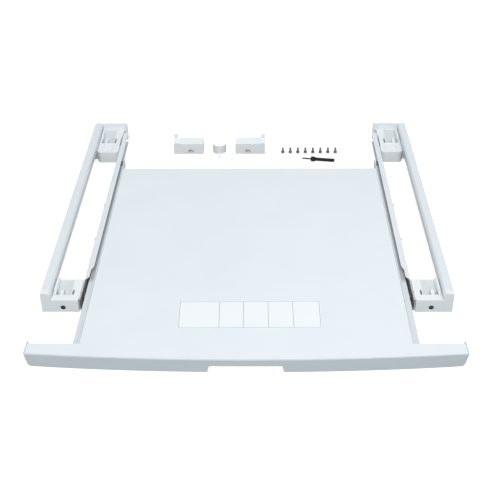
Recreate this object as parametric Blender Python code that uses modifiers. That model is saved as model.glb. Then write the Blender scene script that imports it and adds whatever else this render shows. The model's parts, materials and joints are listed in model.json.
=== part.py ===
"""Washer dryer stacking kit: two side frames, a pull-out tray on rollers, and the loose fixing parts.

Units are metres. X runs to the right, Y to the back and Z up. While it is drawn, Y is 0 at the front face
of the side frames and Z is 0 on the floor. One empty then carries the whole kit, so that the world origin
lies on the floor below the middle of the kit. Pieces that come in pairs are drawn on the right-hand side
and mirrored. The tray is drawn as in its rest position, pulled out by TRAY_PULL.
"""

import math

import bmesh
import bpy
from mathutils import Matrix, Vector

# Clearances and finish
GAP = 0.0003  # between two pieces that touch
OVERRUN = 0.002  # how far a cutter runs past the face that it cuts
ARC_STEPS = 5  # straight steps in a quarter round of an outline
ROUND_STEPS = 20  # sides of a turned piece

# Side frames
FRAME_HALF_WIDTH = 0.298
FRAME_DEPTH = 0.550
RAIL_HEIGHT = 0.033
BLOCK_HEIGHT = 0.0215
BLOCK_WIDTH = 0.0551
BLOCK_WALL = 0.0025

# Outer rail
RAIL_SHEET = 0.0012
RAIL_TOP_WIDTH = 0.012
RAIL_BEVEL = 0.0028
RAIL_ROUND = 0.0015
RAIL_LIP_HEIGHT = 0.014
RAIL_FOOT_WIDTH = 0.008
RAIL_LIFT = 0.001  # of the rail's foot above the floor

# Front foot block
FRONT_BLOCK_LENGTH = 0.052
CAP_LENGTH = 0.010
SEAT_MARGIN = 0.0135  # from the block's front face to its seat
FRONT_SEAT_LENGTH = 0.0365
SCREW_HOLE_RADIUS = 0.0037
SCREW_HOLE_HEIGHT = 0.0072
SCREW_HOLE_RIM = 0.001
FRONT_BOSS = 0.011  # width of the block behind the screw hole
SCREW_HOLE_SINK = 0.0008

# Rear foot block
REAR_BLOCK_LENGTH = 0.098
BACK_WALL = 0.0032
REAR_SEAT_MARGIN = 0.0038  # from the back wall to the seat
REAR_SEAT_LENGTH = 0.054
NOSE_ROUND = 0.009
DECK_SINK = 0.0014
DECK_MARGIN = 0.0045
DECK_RIB = 0.0016
DECK_RIBS = 2
BACK_FILLET = 0.0064  # between the inner side and the back wall
SEAM_START = 0.023  # of the open seam beside the runner, behind the nose
SEAM_END = 0.068

# Seats of the dryer's feet, in both blocks
SEAT_WIDTH = 0.021
SEAT_INSET = 0.0136  # from the block's inner side
SEAT_SINK = 0.0095
SEAT_RISE = 0.001  # how far the ramp's high end stays below the block's top
SEAT_FLOOR = 0.0022
WELL_WIDTH = 0.0112  # of the seat's deep end, which a web parts from the wide pocket
WELL_WEB_DROP = 0.0005  # of that web's top below the block's top
SLOT_WIDTH = 0.0027
SLOT_WEB = 0.0016  # between the seat and the narrow slot
POCKET_WIDTH = 0.0055
POCKET_OUT = 0.001  # how far the pocket runs past the seat's outer side
SLOT_LENGTH_SHARE = 0.36
RIB_HEIGHT = 0.003
RIB_WIDTH = 0.0044
FRONT_RIB_LENGTH = 0.030
REAR_RIB_LENGTH = 0.0355
BOSS = 0.009
TONGUE_LENGTH_SHARE = 0.9
INNER_RIB = 0.0016
SEAM = 0.0012  # width of the open seams between the blocks and what stands beside them
SEAM_DEPTH = 0.004
CORNER_SEAM = 0.006  # length of the front block's open seam
RIB_HOLE = 0.0022

# Runners
SHEET = 0.0012
RUNNER_DROP = 0.001  # of the runner's top below the block's top
RUNNER_LIFT = 0.001  # of the runner's foot above the floor
RUNNER_START = 0.002
RUNNER_END_ROOM = 0.018  # between the runner's rear end and the frame's back
RUNNER_TOP_FLANGE = 0.0093
RUNNER_FOOT_FLANGE = 0.0081
ENTRY_OPEN = 0.0534  # the top flange starts here
ENTRY_HALF = 0.0601  # here it has reached its first width
ENTRY_HALF_END = 0.0774  # here its second step starts
ENTRY_FULL = 0.0866  # and from here it is full
ENTRY_STEP = 0.0032  # of the second step
LUG = 0.002
LUG_LENGTH = 0.005
LUG_HEIGHT = 0.003
LUG_PLACE_SHARES = (0.30, 0.49)

# Tray and its runners
TRAY_PULL = 0.0926  # rest position: how far the fascia's end walls stand before the frames
TRAY_DEPTH = 0.4836  # behind the fascia's end walls
TRAY_TOP = 0.0218
TRAY_SHEET = 0.001
TRAY_EDGE_ROUND = 0.0025
TRAY_SIDE_DROP = 0.0128
TRAY_REAR_DROP = 0.0103
RUNNER_ROOM = 0.0151  # between the frame runner's outer face and the tray
DRAWER_TAIL = 0.040  # of the drawer runner behind the tray
DRAWER_WEB_FOOT = 0.0045
DRAWER_WEB_TOP = 0.0195
DRAWER_FLANGE = 0.0080
DRAWER_FLANGE_END = 0.020  # the flange ends this far before the web does
TAIL_ROUND = 0.006

# Rollers
FRONT_ROLLER_RADIUS = 0.0056
REAR_ROLLER_RADIUS = 0.0078
ROLLER_WIDTH = 0.008
ROLLER_EDGE = 0.0008
ROLLER_HUB_SINK = 0.001
ROLLER_HUB_SHARE = 0.62
PIN_RADIUS = 0.0016
PIN_PLAY = 0.0001
PIN_HEAD_RADIUS = 0.0027
PIN_HEAD = 0.001
FRONT_ROLLER_PLACE = 0.026
REAR_ROLLER_INSET = 0.0085  # from the end of the drawer runner

# Fascia
FASCIA_OVERHANG = 0.0006  # past the side frames at each end
FASCIA_END_DEPTH = 0.0269
FASCIA_BOW = 0.0126
FASCIA_WALL = 0.0025
FASCIA_END_WALL = 0.0018
FASCIA_LIFT = 0.0005
FASCIA_TAPER = 0.0042
FASCIA_CORNER = 0.0045
FASCIA_TOP_RIM = 0.0015
FASCIA_LEDGE = 0.0018
FASCIA_END_REACH = 0.005  # of the end walls behind the ledge
FASCIA_BOW_STEPS = 24
FASCIA_RIB = 0.0016
FASCIA_RIB_PLACE_SHARES = (0.28, 0.46, 0.64, 0.82)
FASCIA_WEB_DROP = 0.0085
NOTCH_HALF_WIDTH = 0.0515
NOTCH_HEIGHT = 0.0107
NOTCH_DRAFT = 0.002
NOTCH_CORNER = 0.0022

# Stiffeners under the tray
STIFFENER_SHEET = 0.0008
STIFFENER_TOP = 0.0198
STIFFENER_FOOT = 0.0115
STIFFENER_WIDTH = 0.030
STIFFENER_BRIM = 0.008
STIFFENER_SIDE_ROOM = 0.004
STIFFENER_PLACE_SHARES = (0.30, 0.68)
FRONT_STIFFENER_REACH = 0.018
FRONT_STIFFENER_FOOT = 0.0095

# Built-in screws
SMALL_HEAD_RADIUS = 0.0029
SMALL_HEAD = 0.0012
SMALL_SHANK_RADIUS = 0.0015
SMALL_SHANK = 0.0072
SHANK_PLAY = 0.0003
RUNNER_SCREW_HEIGHT = 0.0102
RUNNER_SCREW_FRONT_INSET = 0.044  # from the front face of the side frame
RUNNER_SCREW_REAR_INSET = 0.023  # from its back face
DRAWER_SCREW_HEIGHT = 0.0102
DRAWER_SCREW_FRONT_INSET = 0.018
DRAWER_SCREW_REAR_INSET = 0.030
FASCIA_SCREW_HEIGHT = 0.0145
FASCIA_SCREW_PLACE_SHARES = (-0.78, -0.26, 0.26, 0.78)

# Loose corner brackets
BRACKET_WIDTH = 0.0555
BRACKET_DEPTH = 0.0245
BRACKET_HEIGHT = 0.0218
BRACKET_WALL = 0.0025
BRACKET_TAB_WIDTH = 0.0072
BRACKET_TAB_DEPTH = 0.005
BRACKET_TAB_RISE = 0.0107
BRACKET_TAB_PLACE = 0.0165
BRACKET_STEP_WIDTH = 0.004
BRACKET_STEP_RISE = 0.0024
BRACKET_HOLE_PLACE = 0.032  # from the bracket's tab end
BRACKET_HOLE_HALF = 0.0052
BRACKET_HOLE_FOOT = 0.0024
BRACKET_HOLE_RISE = 0.0042
BRACKET_LEFT_END = -0.1427
BRACKET_RIGHT_END = 0.0286
PARTS_CLEARANCE = 0.0012  # between the closed tray and the loose parts behind it

# Loose foot retainer
RETAINER_PLACE = -0.0574
RETAINER_RADIUS = 0.0128
RETAINER_WALL = 0.0015
RETAINER_HEIGHT = 0.0162
RETAINER_TONGUE_WIDTH = 0.0034
RETAINER_TONGUE = 0.018
RETAINER_ARC_STEPS = 16

# Loose screws
SCREW_COUNT = 8
SCREW_FIRST_PLACE = 0.0624
SCREW_PITCH = 0.01415
SCREW_ROW_BACK = 0.0038
SCREW_HEAD_RADIUS = 0.0034
SCREW_HEAD = 0.0026
SCREW_COLLAR_RADIUS = 0.0025
SCREW_COLLAR = 0.0008
SCREW_SHANK_RADIUS = 0.0018
SCREW_SHANK = 0.0064
SCREW_TIP = 0.0016
SCREW_TIP_SHARE = 0.45
SCREW_STEPS = 14

# Loose screwdriver
DRIVER_TIP = (0.0967, 0.4577)
DRIVER_TURN = math.radians(-4.5)
DRIVER_SHAFT_RADIUS = 0.0015
DRIVER_SHAFT = 0.017
DRIVER_SHAFT_IN = 0.016
DRIVER_TIP_LENGTH = 0.003
DRIVER_TIP_THICK = 0.0008
DRIVER_COLLAR_RADIUS = 0.0047
DRIVER_COLLAR = 0.0082
DRIVER_HANDLE_RADIUS = 0.0032
DRIVER_HANDLE = 0.0362
DRIVER_END_ROUND = 0.002
DRIVER_STEPS = 24

# Sizes that follow from the ones above
BLOCK_INNER = FRAME_HALF_WIDTH - BLOCK_WIDTH
RUNNER_OUTER = BLOCK_INNER - GAP
RUNNER_WEB = RUNNER_OUTER - SHEET
RUNNER_TOP = BLOCK_HEIGHT - RUNNER_DROP
CHANNEL_FLOOR = RUNNER_LIFT + SHEET
RUNNER_END = FRAME_DEPTH - RUNNER_END_ROOM
TRAY_HALF_WIDTH = RUNNER_OUTER - RUNNER_ROOM
DRAWER_WEB = TRAY_HALF_WIDTH + GAP
DRAWER_FACE = DRAWER_WEB + SHEET
TRAY_REAR = TRAY_DEPTH - TRAY_PULL
DRAWER_END = TRAY_REAR + DRAWER_TAIL
ROLLER_MIDDLE = (DRAWER_FACE + RUNNER_WEB) / 2
REAR_ROLLER_PLACE = DRAWER_END - REAR_ROLLER_INSET
FRONT_ROLLER_AXIS = CHANNEL_FLOOR + GAP + FRONT_ROLLER_RADIUS
REAR_ROLLER_AXIS = CHANNEL_FLOOR + GAP + REAR_ROLLER_RADIUS
DRAWER_FLANGE_FOOT = FRONT_ROLLER_AXIS + FRONT_ROLLER_RADIUS + GAP
RAIL_INNER = FRAME_HALF_WIDTH - RAIL_TOP_WIDTH - RAIL_BEVEL
RAIL_START = CAP_LENGTH + GAP
RAIL_END = FRAME_DEPTH - BACK_WALL - GAP
LIP_FOOT = RAIL_HEIGHT - RAIL_LIP_HEIGHT
BLOCK_OUTER = RAIL_INNER - GAP
SEAT_INNER = BLOCK_INNER + SEAT_INSET
SEAT_OUTER = SEAT_INNER + SEAT_WIDTH
REAR_BLOCK_START = FRAME_DEPTH - REAR_BLOCK_LENGTH
REAR_SEAT_END = FRAME_DEPTH - BACK_WALL - REAR_SEAT_MARGIN
REAR_SEAT_START = REAR_SEAT_END - REAR_SEAT_LENGTH
LEDGE_BACK = -TRAY_PULL - FASCIA_END_REACH
FASCIA_FRONT = -TRAY_PULL - FASCIA_END_DEPTH - FASCIA_BOW
SHEET_FOOT = TRAY_TOP - TRAY_SHEET
STIFFENER_FACE = LEDGE_BACK + GAP
PARTS_FRONT = TRAY_REAR + TRAY_PULL + PARTS_CLEARANCE
KIT_MIDDLE = (FRAME_DEPTH + FASCIA_FRONT) / 2
FASCIA_HALF_WIDTH = FRAME_HALF_WIDTH + FASCIA_OVERHANG
RUNNER_SCREW_PLACES = (RUNNER_SCREW_FRONT_INSET, FRAME_DEPTH - RUNNER_SCREW_REAR_INSET)

parts = None
cutters = None
finishes = {}


def clear_scene():
    """Remove whatever the file holds, and make the two collections."""
    global parts, cutters
    for obj in list(bpy.data.objects):
        bpy.data.objects.remove(obj, do_unlink=True)
    parts = bpy.data.collections.new("stacking_kit")
    cutters = bpy.data.collections.new("cutters")
    bpy.context.scene.collection.children.link(parts)
    bpy.context.scene.collection.children.link(cutters)
    cutters.hide_render = True


def add_finish(name, colour, roughness, metallic):
    finish = bpy.data.materials.new(name)
    finish.use_nodes = True
    shader = finish.node_tree.nodes["Principled BSDF"]
    shader.inputs["Base Color"].default_value = (*colour, 1)
    shader.inputs["Roughness"].default_value = roughness
    shader.inputs["Metallic"].default_value = metallic
    finishes[name] = finish


def add_finishes():
    add_finish("white_moulding", (0.78, 0.81, 0.84), 0.45, 0)
    add_finish("white_coated_sheet", (0.76, 0.80, 0.83), 0.38, 0)
    add_finish("fascia_moulding", (0.78, 0.81, 0.84), 0.35, 0)
    add_finish("roller_nylon", (0.70, 0.72, 0.73), 0.4, 0)
    add_finish("zinc_steel", (0.42, 0.43, 0.45), 0.35, 1)
    add_finish("black_handle", (0.012, 0.012, 0.014), 0.4, 0)
    add_finish("dark_steel", (0.12, 0.12, 0.13), 0.35, 1)


def new_object(name, mesh, finish=None):
    """A visible piece when it has a finish, and a hidden helper when it has none."""
    obj = bpy.data.objects.new(name, mesh)
    if finish is None:
        cutters.objects.link(obj)
        obj.hide_render = True
        obj.display_type = "WIRE"
    else:
        parts.objects.link(obj)
        mesh.materials.append(finishes[finish])
    return obj


def box(name, x, y, z, finish=None):
    """A box between the two ends given along each axis."""
    shape = bmesh.new()
    bmesh.ops.create_cube(shape, size=1)
    spans = [abs(ends[1] - ends[0]) for ends in (x, y, z)]
    middle = [(ends[0] + ends[1]) / 2 for ends in (x, y, z)]
    bmesh.ops.scale(shape, vec=spans, verts=shape.verts)
    bmesh.ops.translate(shape, vec=middle, verts=shape.verts)
    mesh = bpy.data.meshes.new(name)
    shape.to_mesh(mesh)
    shape.free()
    return new_object(name, mesh, finish)


# Each turns an outline's own plane, and the extrusion square to it, to the plane that the name gives.
PLANES = {
    "plan": Matrix(((1, 0, 0, 0), (0, 1, 0, 0), (0, 0, 1, 0), (0, 0, 0, 1))),
    "front": Matrix(((1, 0, 0, 0), (0, 0, -1, 0), (0, 1, 0, 0), (0, 0, 0, 1))),
    "side": Matrix(((0, 0, 1, 0), (1, 0, 0, 0), (0, 1, 0, 0), (0, 0, 0, 1))),
}
PLANE_NORMALS = {"plan": Vector((0, 0, 1)), "front": Vector((0, 1, 0)), "side": Vector((1, 0, 0))}


def prism(name, plane, outline, ends, finish=None):
    """A flat outline drawn as a filled curve in a plane, and extruded between two ends square to it."""
    curve = bpy.data.curves.new(name, "CURVE")
    curve.dimensions = "2D"
    curve.fill_mode = "BOTH"
    curve.extrude = abs(ends[1] - ends[0]) / 2
    spline = curve.splines.new("POLY")
    spline.points.add(len(outline) - 1)
    for point, (u, v) in zip(spline.points, outline):
        point.co = (u, v, 0, 1)
    spline.use_cyclic_u = True
    drawn = bpy.data.objects.new(name + "_outline", curve)
    cutters.objects.link(drawn)
    graph = bpy.context.evaluated_depsgraph_get()
    mesh = bpy.data.meshes.new_from_object(drawn.evaluated_get(graph))
    bpy.data.objects.remove(drawn, do_unlink=True)
    bpy.data.curves.remove(curve)
    weld(mesh)
    mesh.name = name
    middle = PLANE_NORMALS[plane] * ((ends[0] + ends[1]) / 2)
    mesh.transform(Matrix.Translation(middle) @ PLANES[plane])
    return new_object(name, mesh, finish)


def weld(mesh, turn_out=True):
    """Join the loose caps of a mesh to its sides, and turn its faces outwards."""
    shape = bmesh.new()
    shape.from_mesh(mesh)
    bmesh.ops.remove_doubles(shape, verts=shape.verts, dist=GAP / 100)
    if turn_out:
        bmesh.ops.recalc_face_normals(shape, faces=shape.faces)
    shape.to_mesh(mesh)
    shape.free()


def folded_sheet(name, plane, path, ends, wall, finish=None):
    """A sheet folded along a path, drawn at the middle of its wall, with Solidify giving the wall."""
    shape = bmesh.new()
    first = [shape.verts.new((u, v, ends[0])) for u, v in path]
    for start, end in zip(first, first[1:]):
        shape.edges.new((start, end))
    swept = bmesh.ops.extrude_edge_only(shape, edges=shape.edges[:])
    moved = [item for item in swept["geom"] if isinstance(item, bmesh.types.BMVert)]
    bmesh.ops.translate(shape, vec=(0, 0, ends[1] - ends[0]), verts=moved)
    mesh = bpy.data.meshes.new(name)
    shape.to_mesh(mesh)
    shape.free()
    turned_plane = PLANES[plane].copy()
    if PLANE_NORMALS[plane].dot(turned_plane.col[2].to_3d()) < 0:
        mesh.transform(Matrix.Scale(-1, 4, (0, 0, 1)))
    mesh.transform(turned_plane)
    sheet = new_object(name, mesh, finish)
    thick = sheet.modifiers.new("wall", "SOLIDIFY")
    thick.thickness = wall
    thick.offset = 0
    thick.use_even_offset = True
    return sheet


def turned(name, profile, finish=None, steps=ROUND_STEPS):
    """A profile of (radius, height) points turned about Z. It runs down the outer side."""
    mesh = bpy.data.meshes.new(name)
    points = [(radius, 0, height) for radius, height in profile]
    edges = [(i, i + 1) for i in range(len(points) - 1)]
    if profile[0][0] > 0:
        edges.append((len(points) - 1, 0))
    mesh.from_pydata(points, edges, [])
    obj = new_object(name, mesh, finish)
    lathe = obj.modifiers.new("turn", "SCREW")
    lathe.axis = "Z"
    lathe.steps = steps
    lathe.render_steps = steps
    lathe.use_merge_vertices = True
    lathe.merge_threshold = GAP / 30
    lathe.use_smooth_shade = True
    return obj


def combine(piece, other, operation):
    change = piece.modifiers.new(other.name, "BOOLEAN")
    change.operation = operation
    change.object = other
    change.solver = "EXACT"


def cut(piece, *tools):
    for tool in tools:
        combine(piece, tool, "DIFFERENCE")


def fuse(piece, *others):
    for other in others:
        combine(piece, other, "UNION")


def lay(obj, place, turn=(0, 0, 0)):
    obj.location = place
    obj.rotation_euler = turn
    return obj


def mirrored(piece, name, origin=(0, 0, 0)):
    """The left-hand copy of a right-hand piece, as one plain mesh whose own origin lies at the place given."""
    bpy.context.view_layer.update()
    graph = bpy.context.evaluated_depsgraph_get()
    mesh = bpy.data.meshes.new_from_object(piece.evaluated_get(graph))
    mesh.name = name
    flip = Matrix.Scale(-1, 4, (1, 0, 0))
    mesh.transform(Matrix.Translation([-value for value in origin]) @ flip @ piece.matrix_world)
    mesh.flip_normals()
    copy = bpy.data.objects.new(name, mesh)
    parts.objects.link(copy)
    copy.location = origin
    return copy


def arc(middle, radius, start, end, steps=ARC_STEPS):
    """Points on an arc from one angle to another, in degrees."""
    angles = [math.radians(start + (end - start) * i / steps) for i in range(steps + 1)]
    return [(middle[0] + radius * math.cos(a), middle[1] + radius * math.sin(a)) for a in angles]


def cylinder(name, centre, radius, length, axis, steps=ROUND_STEPS):
    """A hidden round cutter about a point, along X, Y or Z."""
    tool = turned(name, [(0, length / 2), (radius, length / 2), (radius, -length / 2), (0, -length / 2)], None, steps)
    turns = {"x": (0, math.pi / 2, 0), "y": (-math.pi / 2, 0, 0), "z": (0, 0, 0)}
    return lay(tool, centre, turns[axis])


def rail_top(inset):
    """The upper part of the rail's cross-section: the outer edge's round, the top and the inner bevel."""
    middle = (FRAME_HALF_WIDTH - RAIL_ROUND, RAIL_HEIGHT - RAIL_ROUND)
    return [
        *arc(middle, RAIL_ROUND - inset, 0, 90),
        (FRAME_HALF_WIDTH - RAIL_TOP_WIDTH, RAIL_HEIGHT - inset),
        (RAIL_INNER + inset, RAIL_HEIGHT - RAIL_BEVEL - inset),
    ]


def outer_rail():
    """Folded strip: a foot flange, the outer wall, the top, a bevelled inner edge and a lip."""
    half = RAIL_SHEET / 2
    path = [
        (FRAME_HALF_WIDTH - RAIL_FOOT_WIDTH, RAIL_LIFT + half),
        (FRAME_HALF_WIDTH - half, RAIL_LIFT + half),
        *rail_top(half),
        (RAIL_INNER + half, LIP_FOOT),
    ]
    return folded_sheet("outer_rail_right", "front", path, (RAIL_START, RAIL_END), RAIL_SHEET, "white_coated_sheet")


def seat(block, start, end, tag):
    """The ramped seat of a dryer foot: a tub under the block's top, the ramp cut into it, and two slots.

    The ramp falls towards the front. The wide pocket lies on the rail's side and the narrow slot on the
    tray's side, both at the ramp's deep end, where a web narrows the seat to a well for the foot's pin.
    """
    low = BLOCK_HEIGHT - SEAT_SINK
    high = BLOCK_HEIGHT - SEAT_RISE
    tub = prism(
        "tub_" + tag,
        "side",
        [
            (start - BLOCK_WALL, BLOCK_HEIGHT - BLOCK_WALL / 2),
            (start - BLOCK_WALL, low - SEAT_FLOOR),
            (start + BLOCK_WALL, low - SEAT_FLOOR),
            (end, high - SEAT_FLOOR - BLOCK_WALL),
            (end, BLOCK_HEIGHT - BLOCK_WALL / 2),
        ],
        (SEAT_INNER - SLOT_WEB, BLOCK_OUTER - BLOCK_WALL / 2),
    )
    ramp = prism(
        "ramp_" + tag,
        "side",
        [(start, BLOCK_HEIGHT + OVERRUN), (start, low), (end, high), (end, BLOCK_HEIGHT + OVERRUN)],
        (SEAT_INNER, SEAT_OUTER),
    )
    reach = start + (end - start) * SLOT_LENGTH_SHARE
    through = (BLOCK_HEIGHT - SEAT_SINK - SEAT_FLOOR - OVERRUN, BLOCK_HEIGHT + OVERRUN)
    slot_end = SEAT_INNER - SLOT_WEB
    slot = box("slot_" + tag, (slot_end - SLOT_WIDTH, slot_end), (start, reach), through)
    pocket_end = SEAT_OUTER + POCKET_OUT
    pocket_start = pocket_end - POCKET_WIDTH
    pocket = box("pocket_" + tag, (pocket_start, pocket_end), (start, reach), through)
    web = box(
        "well_web_" + tag,
        (SEAT_INNER + WELL_WIDTH, pocket_start + WELL_WEB_DROP),
        (start - BLOCK_WALL / 2, reach - WELL_WEB_DROP / 2),
        (low - SEAT_FLOOR / 2, BLOCK_HEIGHT - WELL_WEB_DROP),
    )
    fuse(block, tub)
    cut(block, ramp)
    fuse(block, web)
    cut(block, slot, pocket)


def side_rib(start, end, tag):
    """The small upright rib on the block's top, close to the rail."""
    return box(
        "rib_" + tag,
        (BLOCK_OUTER - RIB_WIDTH, BLOCK_OUTER),
        (start, end),
        (BLOCK_HEIGHT - BLOCK_WALL / 2, BLOCK_HEIGHT + RIB_HEIGHT),
    )


def rib_seam(start, end, tag):
    """The open seam between the rib and the outer rail, as a cutter."""
    return box(
        "rib_seam_" + tag,
        (BLOCK_OUTER - SEAM, BLOCK_OUTER + OVERRUN),
        (start, end),
        (BLOCK_HEIGHT - SEAM_DEPTH, BLOCK_HEIGHT + RIB_HEIGHT + OVERRUN),
    )


def side_seam(start, end, tag):
    """The open seam between the block's inner side and the frame runner, as a cutter."""
    return box(
        "side_seam_" + tag,
        (BLOCK_INNER - OVERRUN, BLOCK_INNER + SEAM),
        (start, end),
        (-OVERRUN, BLOCK_HEIGHT + OVERRUN),
    )


def tongue(start, end, tag):
    """The bar that the outer rail slides over, below the rail's lip and on its foot flange."""
    return box(
        "tongue_" + tag,
        (BLOCK_OUTER - BLOCK_WALL / 2, FRAME_HALF_WIDTH - RAIL_SHEET - GAP),
        (start, end),
        (RAIL_LIFT + RAIL_SHEET + GAP, LIP_FOOT - GAP),
    )


def runner_screw_hole(place, tag):
    """The blind hole for a runner screw, in the block's boss."""
    return cylinder(
        "runner_screw_hole_" + tag,
        (RUNNER_OUTER, place, RUNNER_SCREW_HEIGHT),
        SMALL_SHANK_RADIUS + SHANK_PLAY,
        (SMALL_SHANK + OVERRUN) * 2,
        "x",
    )


def screw_boss(place, tag):
    """The upright boss behind the block's inner wall that a runner screw bites into."""
    return box(
        "boss_" + tag,
        (BLOCK_INNER + BLOCK_WALL / 2, BLOCK_INNER + BOSS),
        (place - BOSS / 2, place + BOSS / 2),
        (0, BLOCK_HEIGHT - BLOCK_WALL / 2),
    )


def front_foot_block():
    """Moulded front block, open below, with a raised cap that closes the outer rail's front end."""
    hole_x = (SEAT_INNER + SEAT_OUTER) / 2
    block = box(
        "front_foot_block_right",
        (BLOCK_INNER, BLOCK_OUTER),
        (0, FRONT_BLOCK_LENGTH),
        (0, BLOCK_HEIGHT),
        "white_moulding",
    )
    cap = prism(
        "cap_front",
        "front",
        [
            (BLOCK_INNER, 0),
            (FRAME_HALF_WIDTH, 0),
            *rail_top(0),
            (RAIL_INNER, BLOCK_HEIGHT),
            (BLOCK_INNER, BLOCK_HEIGHT),
        ],
        (0, CAP_LENGTH),
    )
    hollow = box(
        "hollow_front",
        (BLOCK_INNER + BLOCK_WALL, BLOCK_OUTER - BLOCK_WALL),
        (BLOCK_WALL, FRONT_BLOCK_LENGTH - BLOCK_WALL),
        (-OVERRUN, BLOCK_HEIGHT - BLOCK_WALL),
    )
    cap_hollow = box(
        "cap_hollow_front",
        (BLOCK_OUTER - BLOCK_WALL * 2, FRAME_HALF_WIDTH - BLOCK_WALL),
        (BLOCK_WALL, CAP_LENGTH - BLOCK_WALL),
        (-OVERRUN, LIP_FOOT - BLOCK_WALL),
    )
    front_boss = box(
        "front_boss",
        (hole_x - FRONT_BOSS / 2, hole_x + FRONT_BOSS / 2),
        (BLOCK_WALL / 2, SEAT_MARGIN),
        (0, BLOCK_HEIGHT - SEAT_SINK),
    )
    rib = box(
        "inner_rib_front",
        (BLOCK_INNER + BLOCK_WALL / 2, SEAT_INNER),
        (SEAT_MARGIN - INNER_RIB, SEAT_MARGIN),
        (RUNNER_LIFT, BLOCK_HEIGHT - BLOCK_WALL / 2),
    )
    bore_end = SEAT_MARGIN - BLOCK_WALL
    rim = SCREW_HOLE_RADIUS + SCREW_HOLE_RIM
    screw_bore = turned(
        "front_screw_bore",
        [
            (0, bore_end),
            (SCREW_HOLE_RADIUS, bore_end),
            (SCREW_HOLE_RADIUS, SCREW_HOLE_SINK),
            (rim, SCREW_HOLE_SINK),
            (rim, -OVERRUN),
            (0, -OVERRUN),
        ],
    )
    lay(screw_bore, (hole_x, 0, SCREW_HOLE_HEIGHT), (-math.pi / 2, 0, 0))
    fuse(block, cap, tongue(CAP_LENGTH - BLOCK_WALL / 2, FRONT_BLOCK_LENGTH * TONGUE_LENGTH_SHARE, "front"))
    cut(block, hollow, cap_hollow)
    fuse(block, front_boss, rib, screw_boss(RUNNER_SCREW_PLACES[0], "front"))
    seat(block, SEAT_MARGIN, SEAT_MARGIN + FRONT_SEAT_LENGTH, "front")
    rib_start = FRONT_BLOCK_LENGTH - FRONT_RIB_LENGTH
    fuse(block, side_rib(rib_start, FRONT_BLOCK_LENGTH, "front"))
    cut(block, rib_seam(rib_start, FRONT_BLOCK_LENGTH + OVERRUN, "front"), side_seam(-OVERRUN, CORNER_SEAM, "front"))
    cut(block, screw_bore, runner_screw_hole(RUNNER_SCREW_PLACES[0], "front"))
    return block


def rear_foot_block():
    """Moulded rear block: a back wall as high as the rail, a seat, a ribbed deck and a nose with cut corners."""
    start = REAR_BLOCK_START
    back = FRAME_DEPTH
    wall = back - BACK_WALL
    wall_end = BLOCK_INNER - BACK_FILLET
    block = prism(
        "rear_foot_block_right",
        "plan",
        [
            *arc((BLOCK_INNER + NOSE_ROUND, start + NOSE_ROUND), NOSE_ROUND, 180, 270),
            *arc((BLOCK_OUTER - NOSE_ROUND, start + NOSE_ROUND), NOSE_ROUND, 270, 360),
            (BLOCK_OUTER, wall + BACK_WALL / 2),
            (wall_end + GAP, wall + BACK_WALL / 2),
            *arc((wall_end + GAP, wall - BACK_FILLET), BACK_FILLET - GAP, 90, 0),
        ],
        (0, BLOCK_HEIGHT),
        "white_moulding",
    )
    back_wall = box("back_wall", (wall_end, FRAME_HALF_WIDTH), (wall, back), (0, RAIL_HEIGHT))
    hollow = box(
        "hollow_rear",
        (BLOCK_INNER + BLOCK_WALL, BLOCK_OUTER - BLOCK_WALL),
        (start + NOSE_ROUND, REAR_SEAT_END + BLOCK_WALL / 2),
        (-OVERRUN, BLOCK_HEIGHT - DECK_SINK - BLOCK_WALL),
    )
    boss_place = RUNNER_SCREW_PLACES[1]
    inner_rib = box(
        "inner_rib_rear",
        (BLOCK_INNER + BLOCK_WALL / 2, BLOCK_OUTER - BLOCK_WALL / 2),
        (REAR_SEAT_START - BLOCK_WALL - INNER_RIB, REAR_SEAT_START - BLOCK_WALL),
        (0, BLOCK_HEIGHT - BLOCK_WALL),
    )
    deck_end = REAR_SEAT_START - BLOCK_WALL
    deck = box(
        "deck_sink",
        (SEAT_INNER, SEAT_OUTER - POCKET_WIDTH),
        (start + DECK_MARGIN, deck_end),
        (BLOCK_HEIGHT - DECK_SINK, BLOCK_HEIGHT + OVERRUN),
    )
    fuse(block, back_wall, tongue(start + NOSE_ROUND, wall + BACK_WALL / 2, "rear"))
    cut(block, hollow)
    fuse(block, inner_rib, screw_boss(boss_place, "rear"))
    seat(block, REAR_SEAT_START, REAR_SEAT_END, "rear")
    cut(block, deck)
    spacing = (deck_end - start - DECK_MARGIN) / (DECK_RIBS + 2)
    for i in range(DECK_RIBS):
        place = start + DECK_MARGIN + spacing * (i + 1)
        fuse(
            block,
            box(
                f"deck_rib_{i + 1}",
                (SEAT_INNER - BLOCK_WALL / 2, SEAT_OUTER - POCKET_WIDTH + BLOCK_WALL / 2),
                (place - DECK_RIB / 2, place + DECK_RIB / 2),
                (BLOCK_HEIGHT - DECK_SINK - BLOCK_WALL / 2, BLOCK_HEIGHT - DECK_SINK / 2),
            ),
        )
    rib_end = wall + BACK_WALL / 2
    rib_start = wall - REAR_RIB_LENGTH
    fuse(block, side_rib(rib_start, rib_end, "rear"))
    rib_hole = box(
        "rib_hole",
        (BLOCK_OUTER - RIB_HOLE, BLOCK_OUTER),
        (wall - RIB_HOLE, wall),
        (BLOCK_HEIGHT - SEAM_DEPTH, BLOCK_HEIGHT + RIB_HEIGHT + OVERRUN),
    )
    cut(block, rib_seam(rib_start, wall, "rear"), rib_hole)
    cut(block, side_seam(start + SEAM_START, start + SEAM_END, "rear"), runner_screw_hole(boss_place, "rear"))
    return block


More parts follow.
